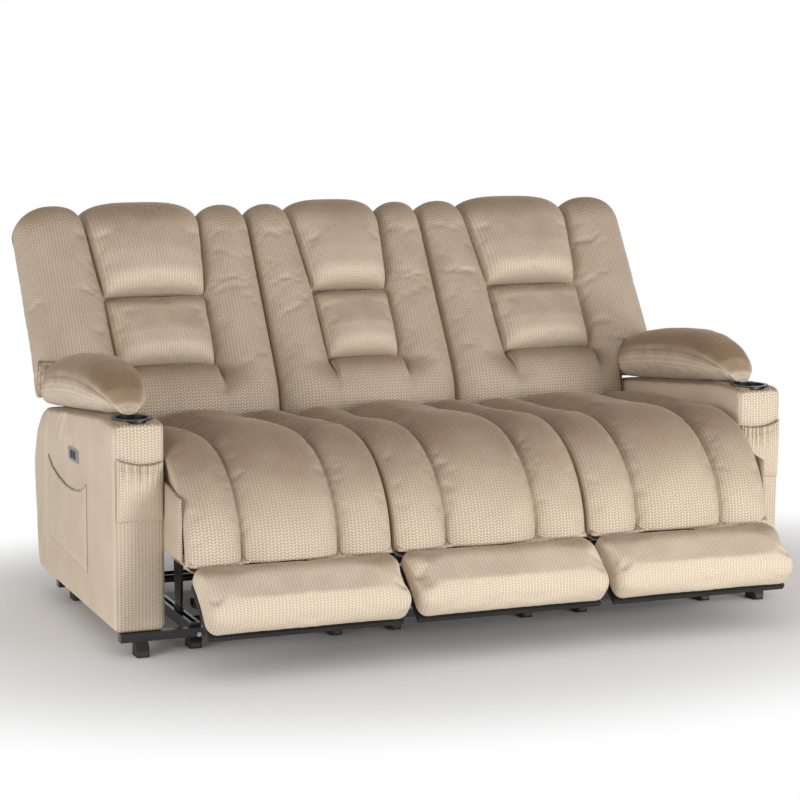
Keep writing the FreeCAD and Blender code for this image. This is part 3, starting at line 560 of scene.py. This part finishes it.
def back_loop(step=0.009):
    """Seam-level loop of a back: up the front, over the top, down the rear and along the bottom."""
    low_front = (0.722, 0.352)
    low_rear = lean_place(-0.095, -0.19)
    corners = [low_front, (0.722, 0.549, 0.20), (*lean_place(0.525, -seam_depth), 0.088),
               (*lean_place(0.525, -0.178), 0.062), (*low_rear, 0.12), (low_rear[0] - 0.006, 0.352, 0.02),
               low_front]
    return walk(corners, step)


def column_half(name, along):
    """Half the width of a back's column of pads."""
    less = middle_less if name == "middle" else 0.0
    return np.interp(along, [0.0, head_low, 0.56], [0.146, 0.153, 0.186]) - less


def column_middle(name):
    return SEATS[name] + SIDES.get(name, 0.0) * outer_shift


def loop_lengths(points, length):
    """Flat lengths of a sweep: across from its middle row, and along from the line."""
    steps = np.linalg.norm(np.diff(points, axis=1), axis=2)
    row = len(length) // 4
    across = np.concatenate([[0.0], np.cumsum(steps[row])])
    flat = np.zeros(points.shape[:2] + (2,))
    flat[:, :, 0] = across[None, :]
    flat[:, :, 1] = length[:, None]
    return flat


# %% [markdown]
# The wings of the outer backs stand over the arms. Their outer edge is round like a pillow's: towards it the
# whole loop shrinks to a line inside. Between two seats the side is flat, so there the loop shrinks at one x.

# %% One back cushion
wing_edge = 0.990
wing_crown = 0.872
wing_over_pad = 0.668
wing_behind_pad = 0.556


def inner_line(line):
    """For each point of the loop, the point inside that it shrinks to."""
    along = np.rint(np.clip(lean_along(line), -0.10, 0.452) / 0.012) * 0.012
    inside = np.stack([back_start[0] + along * math.sin(lean) + 0.118 * math.cos(lean),
                       back_start[1] + along * math.cos(lean) - 0.118 * math.sin(lean)], axis=1)
    low = line[:, 1] < 0.512
    inside[low, 0] = 0.775
    inside[low, 1] = np.rint(np.maximum(line[low, 1], 0.39) / 0.012) * 0.012
    return inside


def back_relief(name, x, along, front, top):
    """How far the filling stands out of the seam level at x, in a row at one length along the lean."""
    centre, middle, half = SEATS[name], column_middle(name), column_half(name, along)
    side = SIDES.get(name, 0.0)
    left, right = centre - seat_half, centre + seat_half
    height = 0.004 + 0.022 * top + 0.034 * front
    creases = (middle - half, middle + half)
    out = np.zeros(len(x))
    for low, high in ((left, creases[0]), (creases[1], right)):
        wing = side != 0.0 and (low if side > 0.0 else high) == creases[1 if side > 0.0 else 0]
        if wing:
            crease = low if side > 0.0 else high
            crown = side * wing_crown
            inside = ((x - crease) * side > 0.0) & ((crown - x) * side >= 0.0)
            t = (x - crown) / (crease - crown)
            out = np.where(inside, height * 1.04 * rise(t), out)
            out = np.where((x - crown) * side > 0.0, height * 1.04, out)
        else:
            inside = (x >= low) & (x <= high)
            out = np.where(inside, height * rise((2.0 * x - low - high) / (high - low), 2.1), out)
    pads = (x > creases[0]) & (x < creases[1])
    out = np.where(pads, -0.006 * front, out)
    reach_left = -arm_inner if side < 0.0 else left
    reach_right = arm_inner if side > 0.0 else right
    t = np.clip((2.0 * x - reach_left - reach_right) / (reach_right - reach_left), -1.0, 1.0)
    drop = np.clip((along + 0.085) / 0.085, 0.0, 1.0)
    roof = np.sqrt(np.clip(1.0 - drop ** 2.4, 0.0, 1.0))
    belly = (0.012 + 0.062 * roof) * rise(t, 3.6)
    belly = np.where(pads, belly, (0.052 + 0.022 * roof) * rise(t, 3.6))
    share = (1.0 - smooth(along, -0.085, 0.0)) * front
    merged = np.where(pads & (along < 0.0), belly, out * (1.0 - share) + belly * share)
    return merged


def back_columns(name, along):
    """Columns of x for one row across a back, with those of a wing's round edge."""
    centre, middle, half = SEATS[name], column_middle(name), column_half(name, along)
    side = SIDES.get(name, 0.0)
    bolster = crowd(middle + half, centre + seat_half, 14)
    pads = crowd(middle - half, middle + half, 12)
    other = crowd(centre - seat_half, middle - half, 14)
    if side < 0.0:
        other = np.concatenate([np.linspace(-wing_crown, -arm_inner, 4)[:-1],
                                -arm_inner + (middle - half + arm_inner) * np.linspace(0.0, 1.0, 9) ** 0.8])
    if side > 0.0:
        outer = np.linspace(arm_inner, wing_crown, 4)[1:]
        spread = np.linspace(0.0, 1.0, 9) ** 1.25
        bolster = np.concatenate([middle + half + (arm_inner - middle - half) * spread, outer])
    return np.concatenate([other, pads[1:], bolster[1:]])


def wing_floor(x, y):
    """Lowest height of a wing over and behind the arm."""
    low = wing_over_pad + (wing_behind_pad - wing_over_pad) * smooth(y, 0.815, 0.845)
    return np.where(np.abs(x) > arm_inner + 0.0015, low, -1.0)


def back_cushion(name):
    line, normal, length = back_loop()
    inside = inner_line(line)
    along = lean_along(line)
    facing = normal[:, 1] * math.sin(lean) - normal[:, 0] * math.cos(lean)
    front, top = smooth(facing, 0.15, 0.95), smooth(facing, -0.9, -0.1)
    side = SIDES.get(name, 0.0)
    turn = np.linspace(0.0, math.pi / 2.0, 15)[1:]
    rows = []
    for i in range(len(line)):
        x = back_columns(name, along[i])
        out = back_relief(name, x, along[i], front[i], top[i])
        top_points = np.stack([x, line[i, 0] + normal[i, 0] * out, line[i, 1] + normal[i, 1] * out], axis=1)
        ends = []
        for end, way in ((0, -1.0), (-1, 1.0)):
            rim = top_points[end]
            hub = np.array([rim[0], *inside[i]])
            if side == way:
                across = np.sin(turn) ** (2.0 / 2.2)
                shrink = np.cos(turn) ** (2.0 / 2.2)
                reach = (wing_edge - wing_crown) * way
            else:
                shrink = np.array([0.72, 0.36, 0.0])
                across, reach = shrink * 0.0, 0.0
            edge = hub + (rim - hub) * shrink[:, None]
            edge[:, 0] = rim[0] + reach * across
            ends.append(edge)
        rows.append(np.concatenate([ends[0][::-1], top_points, ends[1]]))
    points = np.array(rows)
    points[-1] = points[0]
    if side:
        points[:, :, 2] = np.maximum(points[:, :, 2], wing_floor(points[:, :, 0], points[:, :, 1]))
    points[:, :, 1] += arm_front
    obj = cloth_grid(name + "_back_velvet", points, loop_lengths(points, length))
    centre, middle = SEATS[name], column_middle(name)

    def sewn(start):
        line = np.stack([start[:, 1] - arm_front, start[:, 2]], axis=1)
        along, out = lean_along(line), lean_out(line)
        half = column_half(name, along)
        crease = np.abs(np.abs(start[:, 0] - middle) - half) < 0.005
        edge = (np.abs(start[:, 0] - centre) > seat_half - 0.006) & (start[:, 0] * side < arm_inner * 0.98)
        pads = (np.abs(start[:, 0] - middle) < half) & (along > 0.01) & (out > -0.12)
        rear = out < -0.155
        low = start[:, 2] < 0.47
        crease &= along > -0.02
        return crease | edge | pads | rear | low

    stuff(obj, sewn, pressure=2.4, spare=0.012, cap=0.012)
    return finish_piece(obj, name + "_back", "back_fabric", back_velvet, name + "_back_cushion", fill=0.8)


back_pieces = [back_cushion(name) for name in SEATS]
print("backs", [len(piece.data.polygons) for piece in back_pieces])

# %% [markdown]
# The two pads of a back lie in the column between its bolsters. Each swells from the seam level: fullest just
# above its lower seam, where it hangs over a little, and thinner to its top. The headrest goes on over the
# top of the back.

# %% Headrest and lumbar pads
def shoulder(t):
    """1 at t = 0 and 0 at t = 1, falling as the edge of a pillow does."""
    return np.sqrt(np.clip(1.0 - np.clip(t, 0.0, 1.0) ** 2.2, 0.0, 1.0))


def pad_on_back(name, kind, first, last, heights, overhang, edge_power):
    """A pad between two lengths of the back's loop, with its height at a few places."""
    line, normal, length = back_loop(0.008)
    chosen = (length >= first) & (length <= last)
    line, normal, length = line[chosen], normal[chosen], length[chosen]
    along = lean_along(line)
    share = (length - length[0]) / (length[-1] - length[0])
    places, values = zip(*heights)
    height = np.interp(share, places, values)
    height = np.where(share < places[1], values[1] * shoulder(1.0 - share / places[1]), height)
    past = (share - places[-2]) / (1.0 - places[-2])
    height = np.where(share > places[-2], values[-2] * shoulder(past), height)
    middle = column_middle(name)
    t = crowd(-1.0, 1.0, 26)
    bulge = rise(t, edge_power)
    tangent = np.stack([normal[:, 1], -normal[:, 0]], axis=1)
    rows = []
    for i in range(len(line)):
        half = float(column_half(name, min(along[i], 0.56)))
        lift = height[i] * bulge
        droop = -overhang * bulge * height[i] / max(values) * (1.0 - smooth(share[i], 0.0, 0.35))
        rows.append(np.stack([middle + t * half, line[i, 0] + normal[i, 0] * lift + tangent[i, 0] * droop,
                              line[i, 1] + normal[i, 1] * lift + tangent[i, 1] * droop], axis=1))
    for i in reversed(range(len(line))):
        half = float(column_half(name, min(along[i], 0.56)))
        deep = -0.004
        rows.append(np.stack([middle + t * half, np.full(len(t), line[i, 0] + normal[i, 0] * deep),
                              np.full(len(t), line[i, 1] + normal[i, 1] * deep)], axis=1))
    rows.append(rows[0])
    points = np.array(rows)
    points[:, :, 1] += arm_front
    flat = np.zeros(points.shape[:2] + (2,))
    flat[:, :, 0] = (t * 0.16)[None, :]
    steps = np.linalg.norm(np.diff(points[:, 13], axis=0), axis=1)
    flat[:, :, 1] = np.concatenate([[0.0], np.cumsum(steps)])[:, None]
    obj = cloth_grid(name + kind, points, flat)

    def sewn(start):
        line = np.stack([start[:, 1] - arm_front, start[:, 2]], axis=1)
        along, out = lean_along(line), lean_out(line)
        rim = np.abs(start[:, 0] - middle) > column_half(name, np.minimum(along, 0.56)) - 0.004
        return rim | ((out < -0.045) & (along < 0.5)) | (out < -0.15)

    stuff(obj, sewn, pressure=2.4, spare=0.008, cap=0.012)
    return finish_piece(obj, name + "_back", "pad_fabric", pad_velvet, name + "_back_pads", fill=0.8)


loop_line, _, loop_length = back_loop(0.008)
loop_along = lean_along(loop_line)
pad_starts = [float(np.interp(place, loop_along[:85], loop_length[:85])) for place in (lumbar_low, head_low)]
head_heights = [(0.0, 0.0), (0.16, 0.086), (0.28, 0.084), (0.62, 0.060), (0.80, 0.052), (1.0, 0.0)]
lumbar_heights = [(0.0, 0.0), (0.26, 0.080), (0.40, 0.080), (0.72, 0.066), (1.0, 0.0)]
head_length, pad_gap = 0.43, 0.002
pad_pieces = []
for name in SEATS:
    pad_pieces.append(pad_on_back(name, "_headrest", pad_starts[1], pad_starts[1] + head_length,
                                  head_heights, 0.014, 3.4))
    pad_pieces.append(pad_on_back(name, "_lumbar_pad", pad_starts[0], pad_starts[1] - pad_gap,
                                  lumbar_heights, 0.006, 3.2))
print("pads", len(pad_pieces))

# %% [markdown]
# ## Leg rests
# Each leg rest carries a thick pad that slopes down to the front. Its loop in side view is swept across, and
# shrinks to round ends.

# %% Footrest pads
foot_edge = (-0.189, 0.257)
foot_slope = math.radians(38.9)


def foot_place(along, out):
    return (foot_edge[0] - along * math.cos(foot_slope) - out * math.sin(foot_slope),
            foot_edge[1] - along * math.sin(foot_slope) + out * math.cos(foot_slope))


def footrest_pad(name):
    low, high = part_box(name + "_footrest_pad")
    half, centre = (high.x - low.x) / 2.0, (high.x + low.x) / 2.0
    start = foot_place(0.09, -0.0447)
    corners = [start, (*foot_place(-0.004, -0.0447), 0.012), (*foot_place(-0.006, 0.012), 0.026),
               (*foot_place(0.050, 0.046), 0.080), (*foot_place(0.190, 0.047), 0.036),
               (*foot_place(0.184, -0.0447), 0.016), start]
    line, normal, length = walk(corners, 0.008)
    hub_along = np.clip(((foot_edge[0] - line[:, 0]) * math.cos(foot_slope)
                         + (foot_edge[1] - line[:, 1]) * math.sin(foot_slope)), 0.045, 0.140)
    hub = np.array([foot_place(a, 0.0) for a in hub_along])
    round_end = 0.036
    turn = np.linspace(0.0, math.pi / 2.0, 9)[1:]
    inner = np.linspace(-half + round_end, half - round_end, 52)
    left = -half + round_end - round_end * np.sin(turn) ** 0.9
    x = np.concatenate([left[::-1], inner, -left])
    shrink = np.concatenate([np.cos(turn)[::-1] ** 0.8, np.ones(len(inner)), np.cos(turn) ** 0.8])
    crown = 0.010 * rise(x / half, 2.5)
    points = np.zeros((len(line), len(x), 3))
    up_face = np.clip((normal[:, 1] * math.cos(foot_slope) - normal[:, 0] * math.sin(foot_slope)), 0.0, 1.0)
    for k in range(len(x)):
        place = hub + (line - hub) * shrink[k] + normal * (crown[k] * up_face)[:, None]
        points[:, k, 0] = centre + x[k]
        points[:, k, 1:] = place
    points[-1] = points[0]
    points[:, :, 1] += arm_front
    obj = cloth_grid(name + "_footrest_velvet", points, loop_lengths(points, length))

    def sewn(start):
        flat = ((start[:, 1] - arm_front - foot_edge[0]) * -math.sin(foot_slope)
                + (start[:, 2] - foot_edge[1]) * math.cos(foot_slope))
        return flat < -0.030

    stuff(obj, sewn, pressure=2.2, spare=0.004, cap=0.008)
    return finish_piece(obj, name + "_footrest", "pad_fabric", footrest_velvet, name + "_footrest_pad",
                        fill=0.8)


footrest_pieces = [footrest_pad(name) for name in SEATS]
print("footrests", len(footrest_pieces))

# %% [markdown]
# ## Arms
# An arm is a board box under a thin padded cover. Its outline in side view is swept across and rolled in at
# both edges. A round hole is cut for the cup holder, and the mesh is then remade with even squares, so that
# the cloth can puff between its edges.

# %% Arm covers
arm_middle = (arm_inner + half_width) / 2.0
arm_edge = 0.016
cup_place, cup_outside = 0.064, 0.0448
plate_place = (0.405, 0.464)


def edge_roll(x_half, radius, count=6):
    """Columns from one edge of a strip to the other, and how far each is rolled in."""
    turn = np.linspace(0.0, math.pi / 2.0, count + 1)
    x = x_half - radius + radius * np.sin(turn)
    return np.concatenate([-x[::-1], x]), np.concatenate([(radius * (1.0 - np.cos(turn)))[::-1],
                                                          radius * (1.0 - np.cos(turn))])


def arm_height(y):
    return arm_top - 0.1065 * np.maximum(0.0, y - 0.135)


def arm_folds(points, side):
    """Pleats under the rear of the arm pad, on the outer face, that fan down from one point."""
    y, z = points[:, 1] - arm_front, points[:, 2]
    outer = smooth(points[:, 0] * side, half_width - 0.03, half_width - 0.012)
    away = np.hypot(y - 0.500, z - 0.640)
    angle = np.arctan2(y - 0.500, 0.640 - z)
    fade = smooth(away, 0.055, 0.085) * (1.0 - smooth(away, 0.13, 0.20))
    fade = fade * (1.0 - smooth(np.abs(angle), 0.45, 0.8))
    points[:, 0] += side * outer * fade * 0.0045 * np.sin(angle * 17.0 + 1.0)
    hollow = np.exp(-((y - 0.50) / 0.055) ** 2 - ((z - 0.548) / 0.035) ** 2)
    points[:, 0] -= side * outer * hollow * 0.007
    return points


def arm_cover(name, side):
    corners = [(0.400, 0.061), (0.849, 0.061, 0.020), (0.909, 0.528, 0.19), (0.135, arm_top, 0.30),
               (0.0, arm_top, 0.022), (0.0, 0.061, 0.010), (0.400, 0.061)]
    line, normal, length = walk(corners, 0.012)
    x, inward = edge_roll((half_width - arm_inner) / 2.0, arm_edge)
    points = np.zeros((len(line), len(x), 3))
    for k in range(len(x)):
        points[:, k, 0] = side * arm_middle + x[k]
        points[:, k, 1:] = line + normal * inward[k]
    points[-1] = points[0]
    points[:, :, 1] += arm_front
    obj = cloth_grid(name + "_arm_velvet", points, loop_lengths(points, length))
    bpy.ops.mesh.primitive_cylinder_add(vertices=64, radius=cup_outside, depth=0.16,
                                        location=(side * arm_middle, arm_front + cup_place, arm_top))
    drill = bpy.context.object
    only(obj)
    hole = obj.modifiers.new("Cup", "BOOLEAN")
    hole.operation, hole.object = "DIFFERENCE", drill
    bpy.ops.object.modifier_apply(modifier="Cup")
    bpy.data.objects.remove(drill)
    even = obj.modifiers.new("Even", "REMESH")
    even.mode, even.voxel_size = "VOXEL", 0.0095
    bpy.ops.object.modifier_apply(modifier="Even")

    def sewn(start):
        y, z = start[:, 1] - arm_front, start[:, 2]
        out = start[:, 0] * side
        edge = (out < arm_inner + 0.022) | ((out > half_width - 0.008) & (y < 0.02))
        plate = (np.abs(y - plate_place[0]) < 0.065) & (np.abs(z - plate_place[1]) < 0.03)
        cup = np.hypot(y - cup_place, out - arm_middle) < 0.060
        pocket = (y > 0.25) & (y < 0.72) & (z > 0.15) & (z < 0.43)
        under_pad = (y > 0.13) & (z > arm_height(y) - 0.01)
        return edge | plate | pocket | (cup & (z > 0.48)) | (z < 0.075) | under_pad

    stuff(obj, sewn, pressure=1.0, spare=0.0, cap=0.005)
    write_points(obj, arm_folds(read_points(obj), side))
    return finish_piece(obj, "root", "arm_fabric", arm_velvet, name + "_arm_cover", fill=0.7)


for name, side in SIDES.items():
    arm_cover(name, side)
print("arms dressed")

# %% [markdown]
# The arm pad is a long bun. Its cross-section is round above and flatter below, and it grows and shrinks
# along the arm. A seam runs along each side, where the top panel meets the side panels, and the cloth is
# drawn in beside it.

# %% Arm pads
pad_crown_places = [(0.096, 0.640), (0.112, 0.674), (0.145, 0.704), (0.200, 0.728), (0.270, 0.740),
                    (0.340, 0.742), (0.440, 0.735), (0.540, 0.724), (0.640, 0.707), (0.720, 0.688),
                    (0.790, 0.664), (0.822, 0.640)]
pad_half_width = 0.080
pad_seam_angle = 0.34


def arm_pad(name, side):
    front_end, rear_end = pad_crown_places[0][0], pad_crown_places[-1][0]
    turn = np.linspace(-1.0, 1.0, 84)
    y = (front_end + rear_end) / 2.0 + (rear_end - front_end) / 2.0 * np.sin(turn * math.pi / 2.0)
    ends = (2.0 * y - front_end - rear_end) / (rear_end - front_end)
    swell = np.where(ends < 0.0, rise(ends, 4.2), rise(ends, 8.0))
    crown = np.interp(y, *zip(*pad_crown_places))
    base = arm_height(y) + 0.0006
    angle = np.linspace(0.0, 2.0 * math.pi, 61)
    cosine, sine = np.cos(angle), np.sin(angle)
    across = np.sign(cosine) * np.abs(cosine) ** (2.0 / 2.35)
    over = np.sign(sine) * np.abs(sine) ** (2.0 / 2.25)
    under = np.sign(sine) * np.abs(sine) ** (2.0 / 3.2)
    rows = []
    for i in range(len(y)):
        centre = base[i] + 0.40 * (crown[i] - base[i])
        half = pad_half_width * swell[i] + 0.001
        up, down = (crown[i] - centre) * max(swell[i], 0.05), (centre - base[i]) * max(swell[i], 0.05)
        seam = 1.0 - 0.045 * np.exp(-((np.abs(cosine) - math.cos(pad_seam_angle)) / 0.016) ** 2) * (sine > 0)
        x = side * (arm_middle - 0.0015) + across * half * seam
        z = centre + np.where(sine > 0.0, over * up * seam, under * down)
        rows.append(np.stack([x, np.full(len(x), y[i]), z], axis=1))
    points = np.array(rows)
    points[:, -1] = points[:, 0]
    points[:, :, 1] += arm_front
    flat = np.zeros(points.shape[:2] + (2,))
    flat[:, :, 0] = (angle * 0.075)[None, :]
    flat[:, :, 1] = y[:, None]
    obj = cloth_grid(name + "_arm_bun", points, flat)

    def sewn(start):
        y, z = start[:, 1] - arm_front, start[:, 2]
        return z < arm_height(y) + 0.006

    stuff(obj, sewn, pressure=2.2, spare=0.016, cap=0.008)
    return finish_piece(obj, "root", "arm_fabric", bun_velvet, name + "_arm_pad", fill=0.8)


for name, side in SIDES.items():
    arm_pad(name, side)
print("arm pads dressed")

# %% [markdown]
# The front pocket is gathered by an elastic in its mouth. Its ruffles are deepest at the mouth and die out
# downwards, and its bottom is sewn flat. The side pocket is a flat patch whose mouth hangs in a curve.

# %% Pockets
front_pocket_top, front_pocket_low = 0.512, 0.352


def front_pocket(name, side):
    half = (half_width - arm_inner) / 2.0 - 0.008
    t = np.linspace(-1.0, 1.0, 97)
    share = np.linspace(0.0, 1.0, 40)
    ruffle = np.sin(t * 33.0 + 1.3 * np.sin(t * 7.0)) * 0.6 + 0.4 * np.sin(t * 57.0 + 0.8)
    rows = []
    for i in range(len(share)):
        gather = 1.0 - smooth(share[i], 0.0, 0.55)
        neck = math.exp(-((share[i] - 0.10) / 0.05) ** 2)
        full = 0.0145 * rise(2.0 * share[i] - 1.0, 2.2) * rise(t, 3.0)
        full = full + 0.004 * rise(t, 6.0) * (1.0 - share[i])
        open_mouth = 0.0060 * rise(t, 3.0) * (1.0 - smooth(share[i], 0.0, 0.25))
        out = full * (1.0 - 0.30 * neck) + open_mouth + ruffle * 0.0042 * gather * rise(t, 4.0)
        mouth = 0.010 * (1.0 - t ** 2) * (1.0 - share[i]) - 0.006 * t * side * (1.0 - share[i])
        z = front_pocket_top - (front_pocket_top - front_pocket_low) * share[i] - mouth
        x = side * arm_middle + t * half + 0.0012 * np.cos(t * 33.0) * gather
        rows.append(np.stack([x, -0.003 - out, z + np.zeros(len(t))], axis=1))
    for i in reversed(range(len(share))):
        inner = rows[i].copy()
        inner[:, 1] = np.minimum(inner[:, 1] + 0.0022, -0.0006)
        rows.append(inner)
    points = np.array(rows + [rows[0]])
    points[:, :, 1] += arm_front
    flat = np.zeros(points.shape[:2] + (2,))
    flat[:, :, 0] = (t * half * 1.25)[None, :]
    flat[:, :, 1] = -points[:, 48, 2][:, None]
    obj = cloth_grid(name + "_front_pocket_cloth", points, flat)
    only(obj)
    bpy.ops.object.shade_smooth()
    return finish_piece(obj, "root", "arm_fabric", pocket_velvet, name + "_front_pocket", fill=0.3)


def side_pocket(name, side):
    front, rear, low = 0.272, 0.700, 0.165
    u = np.linspace(0.0, 1.0, 61)
    share = np.linspace(0.0, 1.0, 40)
    y = front + (rear - front) * u
    mouth = np.interp(u, [0.0, 0.12, 0.3, 0.5, 0.7, 0.88, 1.0],
                      [0.405, 0.380, 0.368, 0.366, 0.376, 0.392, 0.418])
    bottom = low + 0.020 * u
    rows = []
    for i in range(len(share)):
        z = mouth + (bottom - mouth) * share[i]
        out = 0.0012 + 0.0060 * rise(2.0 * u - 1.0, 3.0) * rise(2.0 * share[i] - 1.0, 3.0)
        out = out + 0.0022 * math.exp(-(share[i] / 0.05) ** 2) * rise(2.0 * u - 1.0, 6.0)
        rows.append(np.stack([side * (half_width + 0.0006 + out), y, z], axis=1))
    for i in reversed(range(len(share))):
        inner = rows[i].copy()
        inner[:, 0] = side * np.maximum(np.abs(inner[:, 0]) - 0.0014, half_width + 0.0002)
        rows.append(inner)
    points = np.array(rows + [rows[0]])
    points[:, :, 1] += arm_front
    flat = np.zeros(points.shape[:2] + (2,))
    flat[:, :, 0] = y[None, :]
    flat[:, :, 1] = -points[:, 30, 2][:, None]
    obj = cloth_grid(name + "_side_pocket_cloth", points, flat)
    only(obj)
    bpy.ops.object.shade_smooth()
    return finish_piece(obj, "root", "arm_fabric", arm_velvet, name + "_side_pocket", fill=0.1)


for name, side in SIDES.items():
    front_pocket(name, side)
    side_pocket(name, side)
print("pockets dressed")

# %% [markdown]
# ## Finishes of the hard parts
# The frame and the links are black enamelled steel, with a soft shine. The rods, springs and bolts are bare
# or zinc plated, the feet, motors and cups are black plastic, and the control plate is satin metal.

# %% Metal, plastic and board
def plain(name, colour, roughness, metallic=0.0, grain=0.0, **constants):
    """Plain finish with a faint speckle in its roughness."""
    material, tree, shader = new_material(name, **constants)
    shader.inputs["Base Color"].default_value = colour
    shader.inputs["Metallic"].default_value = metallic
    place = coordinate(tree, "Object")
    speckle = noise(place, 220.0, 3.0)
    connect(speckle * 0.12 + roughness, shader, "Roughness")
    if grain:
        connect(bump(noise(place, 900.0, 2.0), grain, 0.0004), shader, "Normal")
    return material


black_enamel = plain("black_enamel", rgb(22, 22, 23), 0.30, 0.0, 0.0, Coat_Weight=0.4, Coat_Roughness=0.2)
zinc_plate = plain("zinc_plate", rgb(176, 178, 180), 0.30, 1.0)
spring_steel = plain("spring_steel", rgb(92, 92, 94), 0.34, 1.0)
rod_steel = plain("rod_steel", rgb(150, 152, 154), 0.24, 1.0)
foot_plastic = plain("foot_plastic", rgb(26, 26, 27), 0.50, 0.0, 0.2)
motor_plastic = plain("motor_plastic", rgb(34, 34, 36), 0.44, 0.0, 0.2)
cup_plastic = plain("cup_plastic", rgb(34, 36, 42), 0.28)
plate_satin = plain("plate_satin", rgb(170, 172, 172), 0.36, 0.9)
button_rubber = plain("button_rubber", rgb(62, 64, 66), 0.46)
raw_wood = plain("raw_wood", rgb(176, 146, 106), 0.66)
dark_board = plain("dark_board", rgb(32, 31, 30), 0.60)

black, wood = ("black_steel", black_enamel), ("frame_wood", raw_wood)
BASE_FINISHES = {"base_stretchers": black, "floor_feet": ("foot_plastic", foot_plastic),
                 "frame_bolts": ("zinc_steel", zinc_plate)}
SEAT_FINISHES = {"mechanism_base": black, "seat_frame": black, "lift_links": black, "reach_links": black,
                 "seat_springs": ("spring_steel", spring_steel),
                 "footrest_frame": ("footrest_board", dark_board),
                 "motor": ("motor_plastic", motor_plastic), "motor_rod": ("rod_steel", rod_steel),
                 "back_frame": wood}
ARM_FINISHES = {"arm_frame": wood, "cup_holder": ("cup_plastic", cup_plastic),
                "control_plate": ("plate_metal", plate_satin),
                "open_button": ("button_plastic", button_rubber),
                "close_button": ("button_plastic", button_rubber)}
HARD_FINISHES = dict(BASE_FINISHES)
for places, finishes in ((SEATS, SEAT_FINISHES), (SIDES, ARM_FINISHES)):
    for place in places:
        HARD_FINISHES.update({place + "_" + part: finish for part, finish in finishes.items()})
for node, (slot_name, material) in HARD_FINISHES.items():
    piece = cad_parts[node]
    piece.data.materials.clear()
    piece.data.materials.append(material)
print("hard parts finished", len(HARD_FINISHES))

# %% [markdown]
# ## Light, floor and camera
# The camera stands five and a half metres in front of the arms, out to the left and a metre and a half high,
# and looks a little down. Two soft lamps, one on each side, light the sofa from the front. The world around
# it is white, and so is the floor, which keeps only the shadow near the sofa.

# %% Floor, lamps and camera
def pale_material(name):
    """White floor. Seen by the camera it glows far from the sofa, so that only the soft shadow stands out."""
    material = bpy.data.materials.new(name)
    material.use_nodes = True
    tree = material.node_tree
    tree.nodes.clear()
    made = tree.nodes.new("ShaderNodeOutputMaterial")
    shader = tree.nodes.new("ShaderNodeBsdfDiffuse")
    shader.inputs["Color"].default_value = (0.90, 0.90, 0.90, 1.0)
    glow = tree.nodes.new("ShaderNodeEmission")
    blend = tree.nodes.new("ShaderNodeMixShader")
    x, y, _ = coordinate(tree, "Object").axes()
    away = ((x / 1.5) * (x / 1.5) + ((y + 0.1) / 1.05) * ((y + 0.1) / 1.05)).step(0.55, 1.9)
    rays = tree.nodes.new("ShaderNodeLightPath")
    seen = Value(tree, rays.outputs["Is Camera Ray"]) * away
    tree.links.new(seen.socket, blend.inputs[0])
    tree.links.new(shader.outputs[0], blend.inputs[1])
    tree.links.new(glow.outputs[0], blend.inputs[2])
    tree.links.new(blend.outputs[0], made.inputs["Surface"])
    return material


bpy.ops.mesh.primitive_plane_add(size=60.0, location=(0.0, 0.0, -0.0005))
floor = bpy.context.object
floor.name = "floor"
floor.data.materials.append(pale_material("pale_floor"))

world = bpy.data.worlds.new("studio")
world.use_nodes = True
bpy.context.scene.world = world
sky = world.node_tree.nodes["Background"]
sky.inputs["Color"].default_value = (1.0, 1.0, 1.0, 1.0)
rays = world.node_tree.nodes.new("ShaderNodeLightPath")
seen = Value(world.node_tree, rays.outputs["Is Camera Ray"])
shine = Value(world.node_tree, rays.outputs["Is Glossy Ray"])
glow = 0.55
strength = seen.maths("MAXIMUM", shine) * (1.0 - glow) + glow
world.node_tree.links.new(strength.socket, sky.inputs["Strength"])


def lamp(name, place, target, size, power):
    bpy.ops.object.light_add(type="AREA", location=place)
    light = bpy.context.object
    light.name = name
    light.data.shape = "SQUARE"
    light.data.size = size
    light.data.energy = power
    light.rotation_euler = (Vector(target) - Vector(place)).to_track_quat("-Z", "Y").to_euler()


middle_point = (0.0, 0.0, 0.5)
lamp("front_lamp", (2.6, -5.0, 1.0), middle_point, 2.0, 165.0)
lamp("left_lamp", (-5.2, -3.0, 1.2), middle_point, 2.2, 105.0)

camera_place = (-2.4349, arm_front - 5.4878, 1.5163)
yaw, pitch, roll = math.radians(22.2), math.radians(8.5), math.radians(0.4)
focal_pixels, picture_pixels = 2256.7, 800.0
bpy.ops.object.camera_add(location=camera_place)
camera = bpy.context.object
camera.data.sensor_width = 36.0
camera.data.lens = focal_pixels / picture_pixels * 36.0
ahead = Vector((math.sin(yaw) * math.cos(pitch), math.cos(yaw) * math.cos(pitch), -math.sin(pitch)))
level = Vector((math.cos(yaw), -math.sin(yaw), 0.0))
upright = level.cross(ahead)
right_way = level * math.cos(roll) + upright * math.sin(roll)
up_way = upright * math.cos(roll) - level * math.sin(roll)
turned = Matrix((right_way, up_way, -ahead)).transposed()
camera.rotation_euler = turned.to_euler()
camera.data.clip_end = 100.0
bpy.context.scene.camera = camera
bpy.context.scene.view_settings.view_transform = "Standard"
